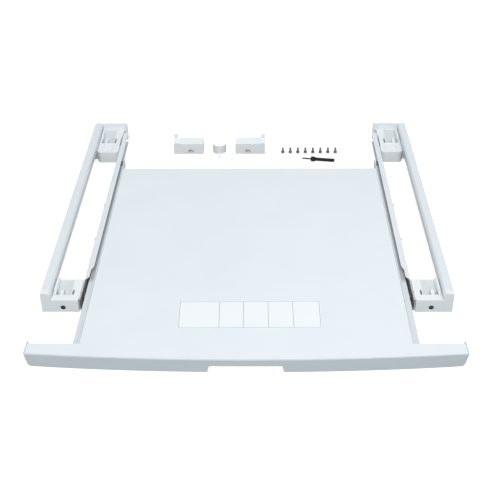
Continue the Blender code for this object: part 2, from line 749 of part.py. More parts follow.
def frame_runner():
    """Steel channel open towards the tray, its top flange cut back in two steps at the front."""
    half = SHEET / 2
    web = RUNNER_WEB + half
    path = [
        (RUNNER_OUTER - RUNNER_TOP_FLANGE, RUNNER_TOP - half),
        (web, RUNNER_TOP - half),
        (web, RUNNER_LIFT + half),
        (RUNNER_OUTER - RUNNER_FOOT_FLANGE, RUNNER_LIFT + half),
    ]
    runner = folded_sheet("frame_runner_right", "front", path, (RUNNER_START, RUNNER_END), SHEET, "white_coated_sheet")
    flange_edge = RUNNER_OUTER - RUNNER_TOP_FLANGE
    entry = prism(
        "runner_entry",
        "plan",
        [
            (flange_edge - OVERRUN, -OVERRUN),
            (RUNNER_WEB, -OVERRUN),
            (RUNNER_WEB, ENTRY_OPEN),
            (flange_edge + ENTRY_STEP, ENTRY_HALF),
            (flange_edge + ENTRY_STEP, ENTRY_HALF_END),
            (flange_edge, ENTRY_FULL),
            (flange_edge - OVERRUN, ENTRY_FULL),
        ],
        (RUNNER_TOP - SHEET - OVERRUN, RUNNER_TOP + OVERRUN),
    )
    cut(runner, entry)
    for i, share in enumerate(LUG_PLACE_SHARES):
        place = FRAME_DEPTH * share
        lug = box(
            f"runner_lug_{i + 1}",
            (RUNNER_WEB + half, RUNNER_OUTER + LUG),
            (place - LUG_LENGTH / 2, place + LUG_LENGTH / 2),
            (RUNNER_TOP - half - LUG_HEIGHT, RUNNER_TOP - half),
        )
        fuse(runner, lug)
    for i, place in enumerate(RUNNER_SCREW_PLACES):
        hole = (RUNNER_WEB, place, RUNNER_SCREW_HEIGHT)
        cut(runner, cylinder(f"web_hole_{i + 1}", hole, SMALL_SHANK_RADIUS + SHANK_PLAY, SHEET * 4, "x"))
    pin_hole = (RUNNER_WEB, FRONT_ROLLER_PLACE, FRONT_ROLLER_AXIS)
    cut(runner, cylinder("web_pin_hole", pin_hole, PIN_RADIUS + GAP, SHEET * 4, "x"))
    return runner


def drawer_runner():
    """Steel angle on the tray's side: a web with a round tail, and a flange that rides on the front roller."""
    front = LEDGE_BACK + GAP
    foot = DRAWER_WEB_FOOT
    top = DRAWER_WEB_TOP
    runner = prism(
        "drawer_runner_right",
        "side",
        [
            (front, foot),
            *arc((DRAWER_END - TAIL_ROUND, foot + TAIL_ROUND), TAIL_ROUND, -90, 0),
            *arc((DRAWER_END - TAIL_ROUND, top - TAIL_ROUND), TAIL_ROUND, 0, 90),
            (front, top),
        ],
        (DRAWER_WEB, DRAWER_FACE),
        "white_coated_sheet",
    )
    flange = box(
        "drawer_flange",
        (DRAWER_WEB + SHEET / 2, DRAWER_FACE + DRAWER_FLANGE),
        (front, DRAWER_END - DRAWER_FLANGE_END),
        (DRAWER_FLANGE_FOOT, DRAWER_FLANGE_FOOT + SHEET),
    )
    fuse(runner, flange)
    for i, place in enumerate(drawer_screw_places()):
        hole = (DRAWER_WEB, place, DRAWER_SCREW_HEIGHT)
        cut(runner, cylinder(f"drawer_hole_{i + 1}", hole, SMALL_SHANK_RADIUS + SHANK_PLAY, SHEET * 4, "x"))
    pin_hole = (DRAWER_WEB, REAR_ROLLER_PLACE, REAR_ROLLER_AXIS)
    cut(runner, cylinder("tail_pin_hole", pin_hole, PIN_RADIUS + GAP, SHEET * 4, "x"))
    return runner


def drawer_screw_places():
    return (LEDGE_BACK + DRAWER_SCREW_FRONT_INSET, TRAY_REAR - DRAWER_SCREW_REAR_INSET)


def roller(name, radius, centre):
    """Nylon roller with rounded edges, a sunk face on each side and a bore, turned about its own axis."""
    half = ROLLER_WIDTH / 2
    bore = PIN_RADIUS + PIN_PLAY
    hub = bore + (radius - bore) * ROLLER_HUB_SHARE
    profile = [
        (bore, half - ROLLER_HUB_SINK),
        (hub, half - ROLLER_HUB_SINK),
        (hub, half),
        (radius - ROLLER_EDGE, half),
        (radius, half - ROLLER_EDGE),
        (radius, ROLLER_EDGE - half),
        (radius - ROLLER_EDGE, -half),
        (hub, -half),
        (hub, ROLLER_HUB_SINK - half),
        (bore, ROLLER_HUB_SINK - half),
    ]
    return lay(turned(name, profile, "roller_nylon"), centre, (0, math.pi / 2, 0))


def pin(name, fixed_end, free_end, centre_y, centre_z):
    """Steel pin along X: plain where it is riveted in its web, with a head past the roller."""
    inward = -1 if free_end < fixed_end else 1
    length = abs(free_end - fixed_end)
    profile = [
        (0, length),
        (PIN_HEAD_RADIUS, length),
        (PIN_HEAD_RADIUS, length - PIN_HEAD),
        (PIN_RADIUS, length - PIN_HEAD),
        (PIN_RADIUS, 0),
        (0, 0),
    ]
    piece = turned(name, profile, "zinc_steel")
    return lay(piece, (fixed_end, centre_y, centre_z), (0, inward * math.pi / 2, 0))


def small_screw(name, face, direction):
    """Built-in screw: a round head on the face given, and a plain shank along the direction."""
    profile = [
        (0, SMALL_HEAD),
        (SMALL_HEAD_RADIUS * 3 / 4, SMALL_HEAD),
        (SMALL_HEAD_RADIUS, SMALL_HEAD / 2),
        (SMALL_HEAD_RADIUS, 0),
        (SMALL_SHANK_RADIUS, 0),
        (SMALL_SHANK_RADIUS, -SMALL_SHANK),
        (0, -SMALL_SHANK - SMALL_SHANK_RADIUS),
    ]
    piece = turned(name, profile, "zinc_steel", SCREW_STEPS)
    turns = {"out": (0, -math.pi / 2, 0), "in": (0, math.pi / 2, 0), "front": (math.pi / 2 * -1, 0, 0)}
    return lay(piece, face, turns[direction])


def runner_pieces():
    """The frame runner, drawer runner, rollers, pins and screws of the right side, each with its mirror."""
    head_face = RUNNER_WEB - GAP
    pairs = [(frame_runner(), "frame_runner_left"), (drawer_runner(), "drawer_runner_left")]
    for piece, name in pairs:
        mirrored(piece, name)
    for place, word in zip(RUNNER_SCREW_PLACES, ("front", "rear")):
        screw = small_screw(f"runner_screw_{word}_right", (head_face, place, RUNNER_SCREW_HEIGHT), "out")
        mirrored(screw, f"runner_screw_{word}_left")
    for place, word in zip(drawer_screw_places(), ("front", "rear")):
        face = (DRAWER_FACE + GAP, place, DRAWER_SCREW_HEIGHT)
        screw = small_screw(f"drawer_screw_{word}_right", face, "in")
        mirrored(screw, f"drawer_screw_{word}_left")
    front = (FRONT_ROLLER_PLACE, FRONT_ROLLER_AXIS)
    rear = (REAR_ROLLER_PLACE, REAR_ROLLER_AXIS)
    for word, radius, (y, z) in (("front", FRONT_ROLLER_RADIUS, front), ("rear", REAR_ROLLER_RADIUS, rear)):
        wheel = roller(f"{word}_roller_right", radius, (ROLLER_MIDDLE, y, z))
        mirrored(wheel, f"{word}_roller_left", (-ROLLER_MIDDLE, y, z))
    past_roller = ROLLER_WIDTH / 2 - ROLLER_HUB_SINK + GAP + PIN_HEAD
    front_pin = pin("front_roller_pin_right", RUNNER_OUTER - GAP, ROLLER_MIDDLE - past_roller, *front)
    rear_pin = pin("rear_roller_pin_right", DRAWER_WEB + GAP, ROLLER_MIDDLE + past_roller, *rear)
    mirrored(front_pin, "front_roller_pin_left")
    mirrored(rear_pin, "rear_roller_pin_left")


def side_pieces():
    for piece, name in (
        (outer_rail(), "outer_rail_left"),
        (front_foot_block(), "front_foot_block_left"),
        (rear_foot_block(), "rear_foot_block_left"),
    ):
        mirrored(piece, name)


def bow(half_width, depth, steps):
    """Points of the fascia's bowed front from left to right: an arc through both ends and the middle."""
    radius = (half_width**2 + depth**2) / (2 * depth)
    sweep = math.degrees(math.asin(half_width / radius))
    return arc((0, radius), radius, 270 - sweep, 270 + sweep, steps)


def fascia_plan(inset, side_inset, back):
    """The fascia's plan, inset from its front face and from its ends, and closed at the back."""
    half = FASCIA_HALF_WIDTH
    front = [(x, FASCIA_FRONT + inset + y) for x, y in bow(half, FASCIA_BOW, FASCIA_BOW_STEPS)]
    inner = [(x, y) for x, y in front if abs(x) < half - side_inset - GAP]
    edge = half - side_inset
    end = FASCIA_FRONT + inset + FASCIA_BOW * (edge / half) ** 2
    return [(-edge, back), (-edge, end), *inner, (edge, end), (edge, back)]


def fascia_elevation(inset, top):
    """The fascia seen from the front: tapered ends with round lower corners, inset by a wall."""
    foot = FASCIA_LIFT if inset == 0 else -OVERRUN
    high = FASCIA_HALF_WIDTH - inset
    low = high - FASCIA_TAPER
    corner = FASCIA_CORNER
    right = [(low - corner, foot), *arc((low - corner, foot + corner), corner, -90, 0)[1:], (high, top)]
    left = [(-x, z) for x, z in reversed(right)]
    return right + left


def fascia():
    """Bowed front moulding: front wall, ledge under the sheet, end walls, rear web, ribs and finger notch."""
    front = FASCIA_FRONT - OVERRUN
    ledge_top = SHEET_FOOT - GAP
    piece = prism(
        "tray_fascia", "plan", fascia_plan(0, 0, -TRAY_PULL), (-OVERRUN, TRAY_TOP + OVERRUN), "fascia_moulding"
    )
    shell = prism("fascia_shell", "front", fascia_elevation(0, TRAY_TOP), (front, OVERRUN))
    combine(piece, shell, "INTERSECT")
    inside = prism(
        "fascia_inside", "plan", fascia_plan(FASCIA_WALL, 0, OVERRUN), (-OVERRUN * 2, ledge_top - FASCIA_LEDGE)
    )
    inside_ends = prism(
        "fascia_inside_ends", "front", fascia_elevation(FASCIA_END_WALL, TRAY_TOP + OVERRUN), (front, OVERRUN * 2)
    )
    combine(inside, inside_ends, "INTERSECT")
    top_sink = prism(
        "fascia_top_sink",
        "plan",
        fascia_plan(FASCIA_TOP_RIM, FASCIA_END_WALL, OVERRUN),
        (ledge_top, TRAY_TOP + OVERRUN * 2),
    )
    step_back = box(
        "fascia_step_back",
        (FASCIA_END_WALL - FASCIA_HALF_WIDTH, FASCIA_HALF_WIDTH - FASCIA_END_WALL),
        (LEDGE_BACK, OVERRUN),
        (ledge_top - FASCIA_LEDGE * 2, TRAY_TOP + OVERRUN * 3),
    )
    notch_side = arc(
        (NOTCH_HALF_WIDTH - NOTCH_DRAFT - NOTCH_CORNER, FASCIA_LIFT + NOTCH_HEIGHT - NOTCH_CORNER), NOTCH_CORNER, 0, 90
    )
    notch_right = [(NOTCH_HALF_WIDTH, -OVERRUN), *notch_side]
    notch = prism(
        "finger_notch",
        "front",
        notch_right + [(-x, z) for x, z in reversed(notch_right)],
        (front, LEDGE_BACK - FASCIA_WALL * 2),
    )
    cut(piece, inside, top_sink, step_back)
    ledge_foot = ledge_top - FASCIA_LEDGE
    web_ends = TRAY_HALF_WIDTH - STIFFENER_SIDE_ROOM
    web = box(
        "fascia_web",
        (-web_ends, web_ends),
        (LEDGE_BACK - FASCIA_WALL, LEDGE_BACK),
        (ledge_foot - FASCIA_WEB_DROP, ledge_foot + FASCIA_LEDGE / 2),
    )
    fuse(piece, web)
    rib_back = LEDGE_BACK - FASCIA_WALL / 2
    for share in FASCIA_RIB_PLACE_SHARES:
        for side in (-1, 1):
            x = side * share * FASCIA_HALF_WIDTH
            wall = FASCIA_FRONT + FASCIA_BOW * share**2 + FASCIA_WALL / 2
            fuse(
                piece,
                prism(
                    f"fascia_rib_{side}_{share}",
                    "side",
                    [
                        (wall, FASCIA_LIFT + FASCIA_CORNER),
                        (wall + FASCIA_WALL, FASCIA_LIFT + FASCIA_CORNER),
                        (rib_back, ledge_foot - FASCIA_WALL),
                        (rib_back, ledge_foot + FASCIA_LEDGE / 2),
                        (wall, ledge_foot + FASCIA_LEDGE / 2),
                    ],
                    (x - FASCIA_RIB / 2, x + FASCIA_RIB / 2),
                ),
            )
    cut(piece, notch)
    for i, share in enumerate(FASCIA_SCREW_PLACE_SHARES):
        hole = (share * TRAY_HALF_WIDTH, LEDGE_BACK, FASCIA_SCREW_HEIGHT)
        cut(piece, cylinder(f"fascia_hole_{i + 1}", hole, SMALL_SHANK_RADIUS + SHANK_PLAY, FASCIA_WALL * 4, "y"))
    return piece


def tray_panel():
    """One sheet: round folded sides, a rear fold, and wings that cover the fascia's ledge."""
    half = TRAY_SHEET / 2
    side = TRAY_HALF_WIDTH - half
    top = TRAY_TOP - half
    edge = TRAY_EDGE_ROUND - half
    right = [(side, TRAY_TOP - TRAY_SIDE_DROP), *arc((side - edge, top - edge), edge, 0, 90)]
    path = right + [(-x, z) for x, z in reversed(right)]
    panel = folded_sheet("tray_panel", "front", path, (LEDGE_BACK, TRAY_REAR), TRAY_SHEET, "white_coated_sheet")
    wings = prism(
        "tray_wings",
        "plan",
        fascia_plan(FASCIA_TOP_RIM + GAP, FASCIA_END_WALL + GAP, LEDGE_BACK + TRAY_SHEET),
        (SHEET_FOOT, TRAY_TOP),
    )
    rear_fold = box(
        "tray_rear_fold",
        (-side + edge, side - edge),
        (TRAY_REAR - TRAY_SHEET, TRAY_REAR),
        (TRAY_TOP - TRAY_REAR_DROP, TRAY_TOP - half),
    )
    fuse(panel, wings, rear_fold)
    for i, place in enumerate(drawer_screw_places()):
        for side_sign in (-1, 1):
            hole = (side_sign * TRAY_HALF_WIDTH, place, DRAWER_SCREW_HEIGHT)
            name = f"panel_hole_{i + 1}_{side_sign}"
            cut(panel, cylinder(name, hole, SMALL_SHANK_RADIUS + SHANK_PLAY, TRAY_SHEET * 4, "x"))
    return panel


def stiffeners():
    """Two hat sections across the tray, and an angle behind the fascia that its screws go through."""
    half = STIFFENER_SHEET / 2
    reach = TRAY_HALF_WIDTH - STIFFENER_SIDE_ROOM
    top = STIFFENER_TOP + half
    foot = STIFFENER_FOOT + half
    for share, word in zip(STIFFENER_PLACE_SHARES, ("middle", "rear")):
        y = TRAY_DEPTH * share - TRAY_PULL
        inner = STIFFENER_WIDTH / 2
        path = [
            (y - inner - STIFFENER_BRIM, top),
            (y - inner, top),
            (y - inner, foot),
            (y + inner, foot),
            (y + inner, top),
            (y + inner + STIFFENER_BRIM, top),
        ]
        folded_sheet(f"tray_stiffener_{word}", "side", path, (-reach, reach), STIFFENER_SHEET, "white_coated_sheet")
    face = STIFFENER_FACE + half
    path = [(face, FRONT_STIFFENER_FOOT), (face, top), (STIFFENER_FACE + FRONT_STIFFENER_REACH, top)]
    front = folded_sheet(
        "tray_stiffener_front", "side", path, (-reach, reach), STIFFENER_SHEET, "white_coated_sheet"
    )
    for i, share in enumerate(FASCIA_SCREW_PLACE_SHARES):
        x = share * TRAY_HALF_WIDTH
        hole = (x, STIFFENER_FACE, FASCIA_SCREW_HEIGHT)
        radius = SMALL_SHANK_RADIUS + SHANK_PLAY
        cut(front, cylinder(f"stiffener_hole_{i + 1}", hole, radius, STIFFENER_SHEET * 4, "y"))
        head_face = STIFFENER_FACE + STIFFENER_SHEET + GAP
        small_screw(f"fascia_screw_{i + 1}", (x, head_face, FASCIA_SCREW_HEIGHT), "front")


def corner_bracket():
    """Loose bracket: a hollow moulding with an upright tab at its outer end and an arched hole in its face."""
    end = BRACKET_RIGHT_END
    start = end - BRACKET_WIDTH
    front = PARTS_FRONT
    back = front + BRACKET_DEPTH
    bracket = box("corner_bracket_right", (start, end), (front, back), (0, BRACKET_HEIGHT), "white_moulding")
    hollow = box(
        "bracket_hollow",
        (start + BRACKET_WALL, end - BRACKET_WALL),
        (front + BRACKET_WALL, back + OVERRUN),
        (-OVERRUN, BRACKET_HEIGHT - BRACKET_WALL),
    )
    tab = box(
        "bracket_tab",
        (end - BRACKET_TAB_WIDTH, end),
        (front + BRACKET_TAB_PLACE, front + BRACKET_TAB_PLACE + BRACKET_TAB_DEPTH),
        (BRACKET_HEIGHT - BRACKET_WALL, BRACKET_HEIGHT + BRACKET_TAB_RISE),
    )
    step = box(
        "bracket_step",
        (end - BRACKET_TAB_WIDTH - BRACKET_STEP_WIDTH, end - BRACKET_TAB_WIDTH / 2),
        (front + BRACKET_TAB_PLACE, front + BRACKET_TAB_PLACE + BRACKET_TAB_DEPTH),
        (BRACKET_HEIGHT - BRACKET_WALL, BRACKET_HEIGHT + BRACKET_STEP_RISE),
    )
    hole_x = end - BRACKET_HOLE_PLACE
    hole_z = BRACKET_HOLE_FOOT + BRACKET_HOLE_RISE / 2
    hole = prism(
        "bracket_hole",
        "front",
        [
            (hole_x - BRACKET_HOLE_HALF, BRACKET_HOLE_FOOT),
            (hole_x + BRACKET_HOLE_HALF, BRACKET_HOLE_FOOT),
            *[(x, z) for x, z in arc((hole_x, hole_z), BRACKET_HOLE_HALF, 0, 180, ARC_STEPS * 2)],
        ],
        (front - OVERRUN, front + BRACKET_WALL + OVERRUN),
    )
    fuse(bracket, tab, step)
    cut(bracket, hollow, hole)
    copy = mirrored(bracket, "corner_bracket_left")
    copy.location.x = BRACKET_LEFT_END + end


def foot_retainer():
    """Loose retainer: half a tube standing on a half round plate with a tongue towards the front."""
    centre = (RETAINER_PLACE, PARTS_FRONT + RETAINER_RADIUS)
    outer = arc(centre, RETAINER_RADIUS, 180, 360, RETAINER_ARC_STEPS)
    inner = arc(centre, RETAINER_RADIUS - RETAINER_WALL, 360, 180, RETAINER_ARC_STEPS)
    piece = prism("foot_retainer", "plan", outer + inner, (0, RETAINER_HEIGHT), "white_moulding")
    plate = prism("retainer_plate", "plan", outer, (0, RETAINER_WALL))
    tongue_piece = box(
        "retainer_tongue",
        (RETAINER_PLACE - RETAINER_TONGUE_WIDTH / 2, RETAINER_PLACE + RETAINER_TONGUE_WIDTH / 2),
        (PARTS_FRONT - RETAINER_TONGUE, PARTS_FRONT + RETAINER_WALL),
        (0, RETAINER_WALL),
    )
    fuse(piece, plate, tongue_piece)


def loose_screws():
    """Eight self-tapping screws that stand on their heads in a row."""
    top = SCREW_HEAD + SCREW_COLLAR + SCREW_SHANK + SCREW_TIP
    profile = [
        (0, top),
        (SCREW_SHANK_RADIUS * SCREW_TIP_SHARE, top),
        (SCREW_SHANK_RADIUS, top - SCREW_TIP),
        (SCREW_SHANK_RADIUS, SCREW_HEAD + SCREW_COLLAR),
        (SCREW_COLLAR_RADIUS, SCREW_HEAD),
        (SCREW_HEAD_RADIUS, SCREW_HEAD),
        (SCREW_HEAD_RADIUS, SCREW_HEAD / 3),
        (SCREW_HEAD_RADIUS * 3 / 4, 0),
        (0, 0),
    ]
    y = PARTS_FRONT + SCREW_ROW_BACK
    for i in range(SCREW_COUNT):
        screw = turned(f"loose_screw_{i + 1}", profile, "zinc_steel", SCREW_STEPS)
        lay(screw, (SCREW_FIRST_PLACE + i * SCREW_PITCH, y, 0))


def screwdriver():
    """Loose screwdriver lying on its collar and on the end of its fluted handle."""
    drop = DRIVER_COLLAR_RADIUS - DRIVER_HANDLE_RADIUS
    tilt = math.asin(drop / (DRIVER_COLLAR / 2 + DRIVER_HANDLE))
    start = -DRIVER_SHAFT
    collar_end = -DRIVER_COLLAR
    handle_end = collar_end - DRIVER_HANDLE
    bore = DRIVER_SHAFT_RADIUS + GAP
    handle = turned(
        "screwdriver_handle",
        [
            (DRIVER_COLLAR_RADIUS * 3 / 4, 0),
            (DRIVER_COLLAR_RADIUS, -DRIVER_COLLAR / 5),
            (DRIVER_COLLAR_RADIUS, collar_end + DRIVER_COLLAR / 5),
            (DRIVER_HANDLE_RADIUS, collar_end),
            *[
                (radius, height)
                for radius, height in arc(
                    (DRIVER_HANDLE_RADIUS - DRIVER_END_ROUND, handle_end + DRIVER_END_ROUND),
                    DRIVER_END_ROUND,
                    0,
                    -90,
                )
            ],
            (0, handle_end),
            (0, -DRIVER_SHAFT_IN),
            (bore, -DRIVER_SHAFT_IN),
            (bore, 0),
        ],
        "black_handle",
        DRIVER_STEPS,
    )
    shaft = turned(
        "screwdriver_shaft",
        [
            (0, DRIVER_SHAFT),
            (DRIVER_TIP_THICK, DRIVER_SHAFT),
            (DRIVER_SHAFT_RADIUS, DRIVER_SHAFT - DRIVER_TIP_LENGTH),
            (DRIVER_SHAFT_RADIUS, GAP - DRIVER_SHAFT_IN),
            (0, GAP - DRIVER_SHAFT_IN),
        ],
        "dark_steel",
        SCREW_STEPS,
    )
    x = DRIVER_TIP[0] - start * math.cos(DRIVER_TURN)
    y = DRIVER_TIP[1] - start * math.sin(DRIVER_TURN)
    place = (x, y, DRIVER_COLLAR_RADIUS + GAP)
    turn = (0, -math.pi / 2 + tilt, DRIVER_TURN)
    lay(shaft, place, turn)
    lay(handle, place, turn)


def carry_kit():
    """Hang every piece and cutter on one empty, so that the world origin lies below the kit's middle."""
    kit = bpy.data.objects.new("kit_origin", None)
    bpy.context.scene.collection.objects.link(kit)
    kit.location = (0, -KIT_MIDDLE, 0)
    tray = bpy.data.objects.new("tray_slide", None)
    bpy.context.scene.collection.objects.link(tray)
    tray.parent = kit
    on_tray = ("tray_", "drawer_", "fascia_", "rear_roller_")
    for obj in list(parts.objects) + list(cutters.objects):
        rides = obj.name.startswith(on_tray) and obj.name in parts.objects
        obj.parent = tray if rides else kit


def shade():
    for obj in parts.objects:
        if obj.type == "MESH":
            obj.data.shade_smooth()
            obj.data.set_sharp_from_angle(angle=math.radians(30))


def main():
    clear_scene()
    add_finishes()
    side_pieces()
    runner_pieces()
    tray_panel()
    fascia()
    stiffeners()
    corner_bracket()
    foot_retainer()
    loose_screws()
    screwdriver()
    shade()
    carry_kit()


main()
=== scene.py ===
"""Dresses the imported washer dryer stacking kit: two side frames, a pull-out tray and loose fixing parts.

Units are metres. Places along Y are given as depths behind the front face of the side frames, and at() turns
a depth into a place. Pieces that come in pairs are worked out for the right-hand side and mirrored.
"""

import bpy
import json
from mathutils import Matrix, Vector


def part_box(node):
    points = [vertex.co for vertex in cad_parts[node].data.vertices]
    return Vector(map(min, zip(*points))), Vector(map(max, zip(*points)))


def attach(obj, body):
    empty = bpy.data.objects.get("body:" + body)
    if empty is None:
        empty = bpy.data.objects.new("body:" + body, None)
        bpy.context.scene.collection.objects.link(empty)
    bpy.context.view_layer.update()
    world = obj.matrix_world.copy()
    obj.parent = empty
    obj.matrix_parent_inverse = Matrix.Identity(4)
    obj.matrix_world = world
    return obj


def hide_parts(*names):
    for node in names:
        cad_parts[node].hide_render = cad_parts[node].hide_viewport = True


bl_info = {
    "name": "Stacking Kit Finish",
    "version": (1, 0, 0),
    "blender": (4, 5, 0),
    "location": "View3D > Sidebar > Stacking Kit",
    "description": "Builds the detailed surfaces, finishes and studio of a washer dryer stacking kit",
    "category": "Add Mesh",
}

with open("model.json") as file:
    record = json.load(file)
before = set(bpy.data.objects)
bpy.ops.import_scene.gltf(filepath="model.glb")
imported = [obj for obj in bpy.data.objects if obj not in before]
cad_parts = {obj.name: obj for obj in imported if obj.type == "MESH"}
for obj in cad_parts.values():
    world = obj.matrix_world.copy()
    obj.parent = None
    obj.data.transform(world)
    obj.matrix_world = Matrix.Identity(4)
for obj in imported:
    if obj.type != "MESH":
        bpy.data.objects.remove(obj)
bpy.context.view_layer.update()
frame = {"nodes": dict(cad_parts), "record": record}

import json
import math

import bmesh
import bpy
import numpy as np
from bpy.props import FloatProperty, FloatVectorProperty, IntProperty, PointerProperty
from mathutils import Matrix, Vector

# Where the frame's nodes are
BLOCK_LOW, BLOCK_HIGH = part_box("front_foot_block_right")
REAR_LOW, REAR_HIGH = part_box("rear_foot_block_right")
RAIL_LOW, RAIL_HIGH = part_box("outer_rail_right")
RUNNER_LOW, RUNNER_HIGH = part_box("frame_runner_right")
DRAWER_LOW, DRAWER_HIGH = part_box("drawer_runner_right")
PANEL_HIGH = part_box("tray_panel")[1]
FASCIA_LOW, FASCIA_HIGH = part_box("tray_fascia")
FRONT_FACE = BLOCK_LOW.y

# Side frames
FRAME_HALF_WIDTH = RAIL_HIGH.x
FRAME_DEPTH = REAR_HIGH.y - FRONT_FACE
RAIL_HEIGHT = RAIL_HIGH.z
RAIL_LIFT = RAIL_LOW.z
RAIL_INNER = RAIL_LOW.x
RAIL_SHEET = 0.0012
RAIL_TOP_WIDTH = 0.012
RAIL_BEVEL = FRAME_HALF_WIDTH - RAIL_TOP_WIDTH - RAIL_INNER
RAIL_ROUND = 0.0015
RAIL_FOLD = 0.0009
RAIL_LIP_HEIGHT = 0.014
RAIL_FOOT_WIDTH = 0.008
GAP = 0.0003
BLOCK_INNER = BLOCK_LOW.x
BLOCK_OUTER = RAIL_INNER - GAP
BLOCK_HEIGHT = 0.0215
BLOCK_WALL = 0.0025
FRONT_BLOCK_LENGTH = BLOCK_HIGH.y - BLOCK_LOW.y
CAP_LENGTH = 0.010
TONGUE_TOP = RAIL_HEIGHT - RAIL_LIP_HEIGHT - GAP
TONGUE_FOOT = RAIL_LIFT + RAIL_SHEET + GAP
TONGUE_OUTER = FRAME_HALF_WIDTH - RAIL_SHEET - GAP
FRONT_TONGUE_END = 0.0468

# Seats of the dryer's feet
SEAT_INNER = BLOCK_INNER + 0.0136
SEAT_OUTER = SEAT_INNER + 0.021
SEAT_SINK = 0.0095
SEAT_RISE = 0.001
RAMP_CURVE = 1.35
SLOT = (SEAT_INNER - 0.0043, SEAT_INNER - 0.0016)
POCKET = (SEAT_OUTER - 0.0045, SEAT_OUTER + 0.001)
SLOT_LENGTH_SHARE = 0.36
WEB_START = SEAT_INNER + 0.0112
WEB_DROP = 0.0005
FRONT_SEAT = (0.0135, 0.050)
REAR_SEAT = (FRAME_DEPTH - 0.061, FRAME_DEPTH - 0.007)
RIB = (BLOCK_OUTER - 0.0044, BLOCK_OUTER - 0.0005)
RIB_TOP = BLOCK_HEIGHT + 0.003
SEAM_FLOOR = BLOCK_HEIGHT - 0.0018
FRONT_RIB_START = 0.022
REAR_RIB_START = FRAME_DEPTH - 0.0387
SEAM_WIDTH = 0.0012
CORNER_SEAM_END = 0.006
SCREW_HOLE = ((SEAT_INNER + SEAT_OUTER) / 2, 0.0072)
SCREW_HOLE_RADIUS = 0.0037
SCREW_HOLE_RIM = 0.0047
SCREW_HOLE_SINK = 0.0008
SCREW_HOLE_DEPTH = 0.011
PUNCH_HALF_WIDTH = 0.0058  # of the wall panel round the screw hole
BOSS = 0.009
BOSS_SPAN = (0.0395, 0.0485)  # depths of the front block's inner boss
FRONT_BOSS = 0.011
WALL_REACH_SHARE = 0.72  # of a wall, as far as its top lowers what is under it

# Rear block
REAR_START = REAR_LOW.y - FRONT_FACE
BACK_WALL_START = FRAME_DEPTH - 0.0032
BACK_WALL_INNER = REAR_LOW.x
NOSE_ROUND = 0.009
BACK_FILLET = 0.0061
REAR_SEAM = (REAR_START + 0.023, REAR_START + 0.068)
DECK = (REAR_START + 0.0045, REAR_SEAT[0] - 0.0025)
DECK_OUTER = SEAT_OUTER - 0.0055
DECK_SINK = 0.0014
DECK_RIB_HALF = 0.0008
RIB_HOLE = 0.0022
REAR_BOSS_SPAN = (0.5225, 0.5315)  # depths of the rear block's inner boss

# Runners
SHEET = 0.0012
RUNNER_FOLD = SHEET * 1.2
CHANNEL_MARGIN = SHEET * 0.9  # from the outer faces of the flanges to the inside that gets painted shade
TRACK_REACH = SHEET * 1.3  # above the foot of the drawer runner's flange, as far as its top face that gets painted shade
DRAWER_ROOT = SHEET * 0.7  # fold radius between the drawer runner's web and flange
RUNNER_OUTER = BLOCK_INNER - GAP
RUNNER_WEB = RUNNER_OUTER - SHEET
RUNNER_TOP = 0.0205
RUNNER_FOOT = RUNNER_LOW.z
RUNNER_TOP_EDGE = RUNNER_LOW.x
RUNNER_FOOT_EDGE = RUNNER_TOP_EDGE + 0.0012
RUNNER_ENDS = (RUNNER_LOW.y - FRONT_FACE, RUNNER_HIGH.y - FRONT_FACE)
ENTRY_STEP_EDGE = RUNNER_TOP_EDGE + 0.0032
ENTRY_PLACES = (0.0534, 0.0601, 0.0774, 0.0866)
LUG_PLACE_SHARES = (0.30, 0.49)
LUG_SIZE = (0.002, 0.005, 0.003)
DRAWER_WEB = DRAWER_LOW.x
DRAWER_FACE = DRAWER_WEB + SHEET
DRAWER_FLANGE_EDGE = DRAWER_HIGH.x
DRAWER_FLANGE_FOOT = 0.014
DRAWER_ENDS = (DRAWER_LOW.y - FRONT_FACE, DRAWER_HIGH.y - FRONT_FACE)
DRAWER_FLANGE_END = DRAWER_ENDS[1] - 0.020
TAIL_ROUND = 0.006
ROLLER_BORE = 0.0017
ROLLER_HUB_SHARE = 0.62  # of the way from the bore to the rim
ROLLER_RING_SHARE = 0.3
ROLLER_SINK = 0.001
ROLLER_SHOULDER = 0.0006
TREAD_SHARE = 0.9  # of a roller's radius, beyond which it gets painted shade
PIN_HEAD = 0.001
PIN_DOME = 0.00075
PIN_SHANK = 0.0016
RIVET_RADIUS = 0.0026
RIVET_BORE = 0.0012
RIVET_THICK = 0.0005

# Tray
TRAY_TOP = PANEL_HIGH.z
TRAY_SHEET = 0.001
TRAY_HALF_WIDTH = DRAWER_WEB - GAP
TRAY_REAR = PANEL_HIGH.y - FRONT_FACE
TRAY_EDGE_ROUND = 0.0025
TRAY_CORNER_ROUND = 0.0032
TRAY_SIDE_FOOT = 0.009
TRAY_REAR_FOOT = 0.0115
LEDGE_BACK = -0.0976
FASCIA_HALF_WIDTH = FASCIA_HIGH.x
FASCIA_FRONT = FASCIA_LOW.y - FRONT_FACE
FASCIA_BACK = FASCIA_HIGH.y - FRONT_FACE
FASCIA_FOOT = FASCIA_LOW.z
FASCIA_TOP = FASCIA_HIGH.z
FASCIA_BOW = 0.0126
FASCIA_WALL = 0.0025
FASCIA_END_WALL = 0.0018
FASCIA_TAPER = 0.0042
FASCIA_CORNER = 0.0045
FASCIA_PLAN_ROUND = 0.0022
FASCIA_RIM = 0.0015
LEDGE = (0.0187, 0.0205)
NOTCH_HALF_WIDTH = 0.0515
NOTCH_DRAFT = 0.002
NOTCH_TOP = 0.0112
NOTCH_CORNER = 0.0022
NOTCH_BLEND = 0.012  # beside the notch, over which its draft fades
LEDGE_WEB_HEIGHT = 0.0085
LEDGE_WEB_INSET = 0.004
RIB_PLACE_SHARES = (0.28, 0.46, 0.64, 0.82)
FASCIA_RIB = 0.0016
FASCIA_MIDDLE = 0.017
STIFFENER_SHEET = 0.0008
STIFFENER_BRIM = 0.008

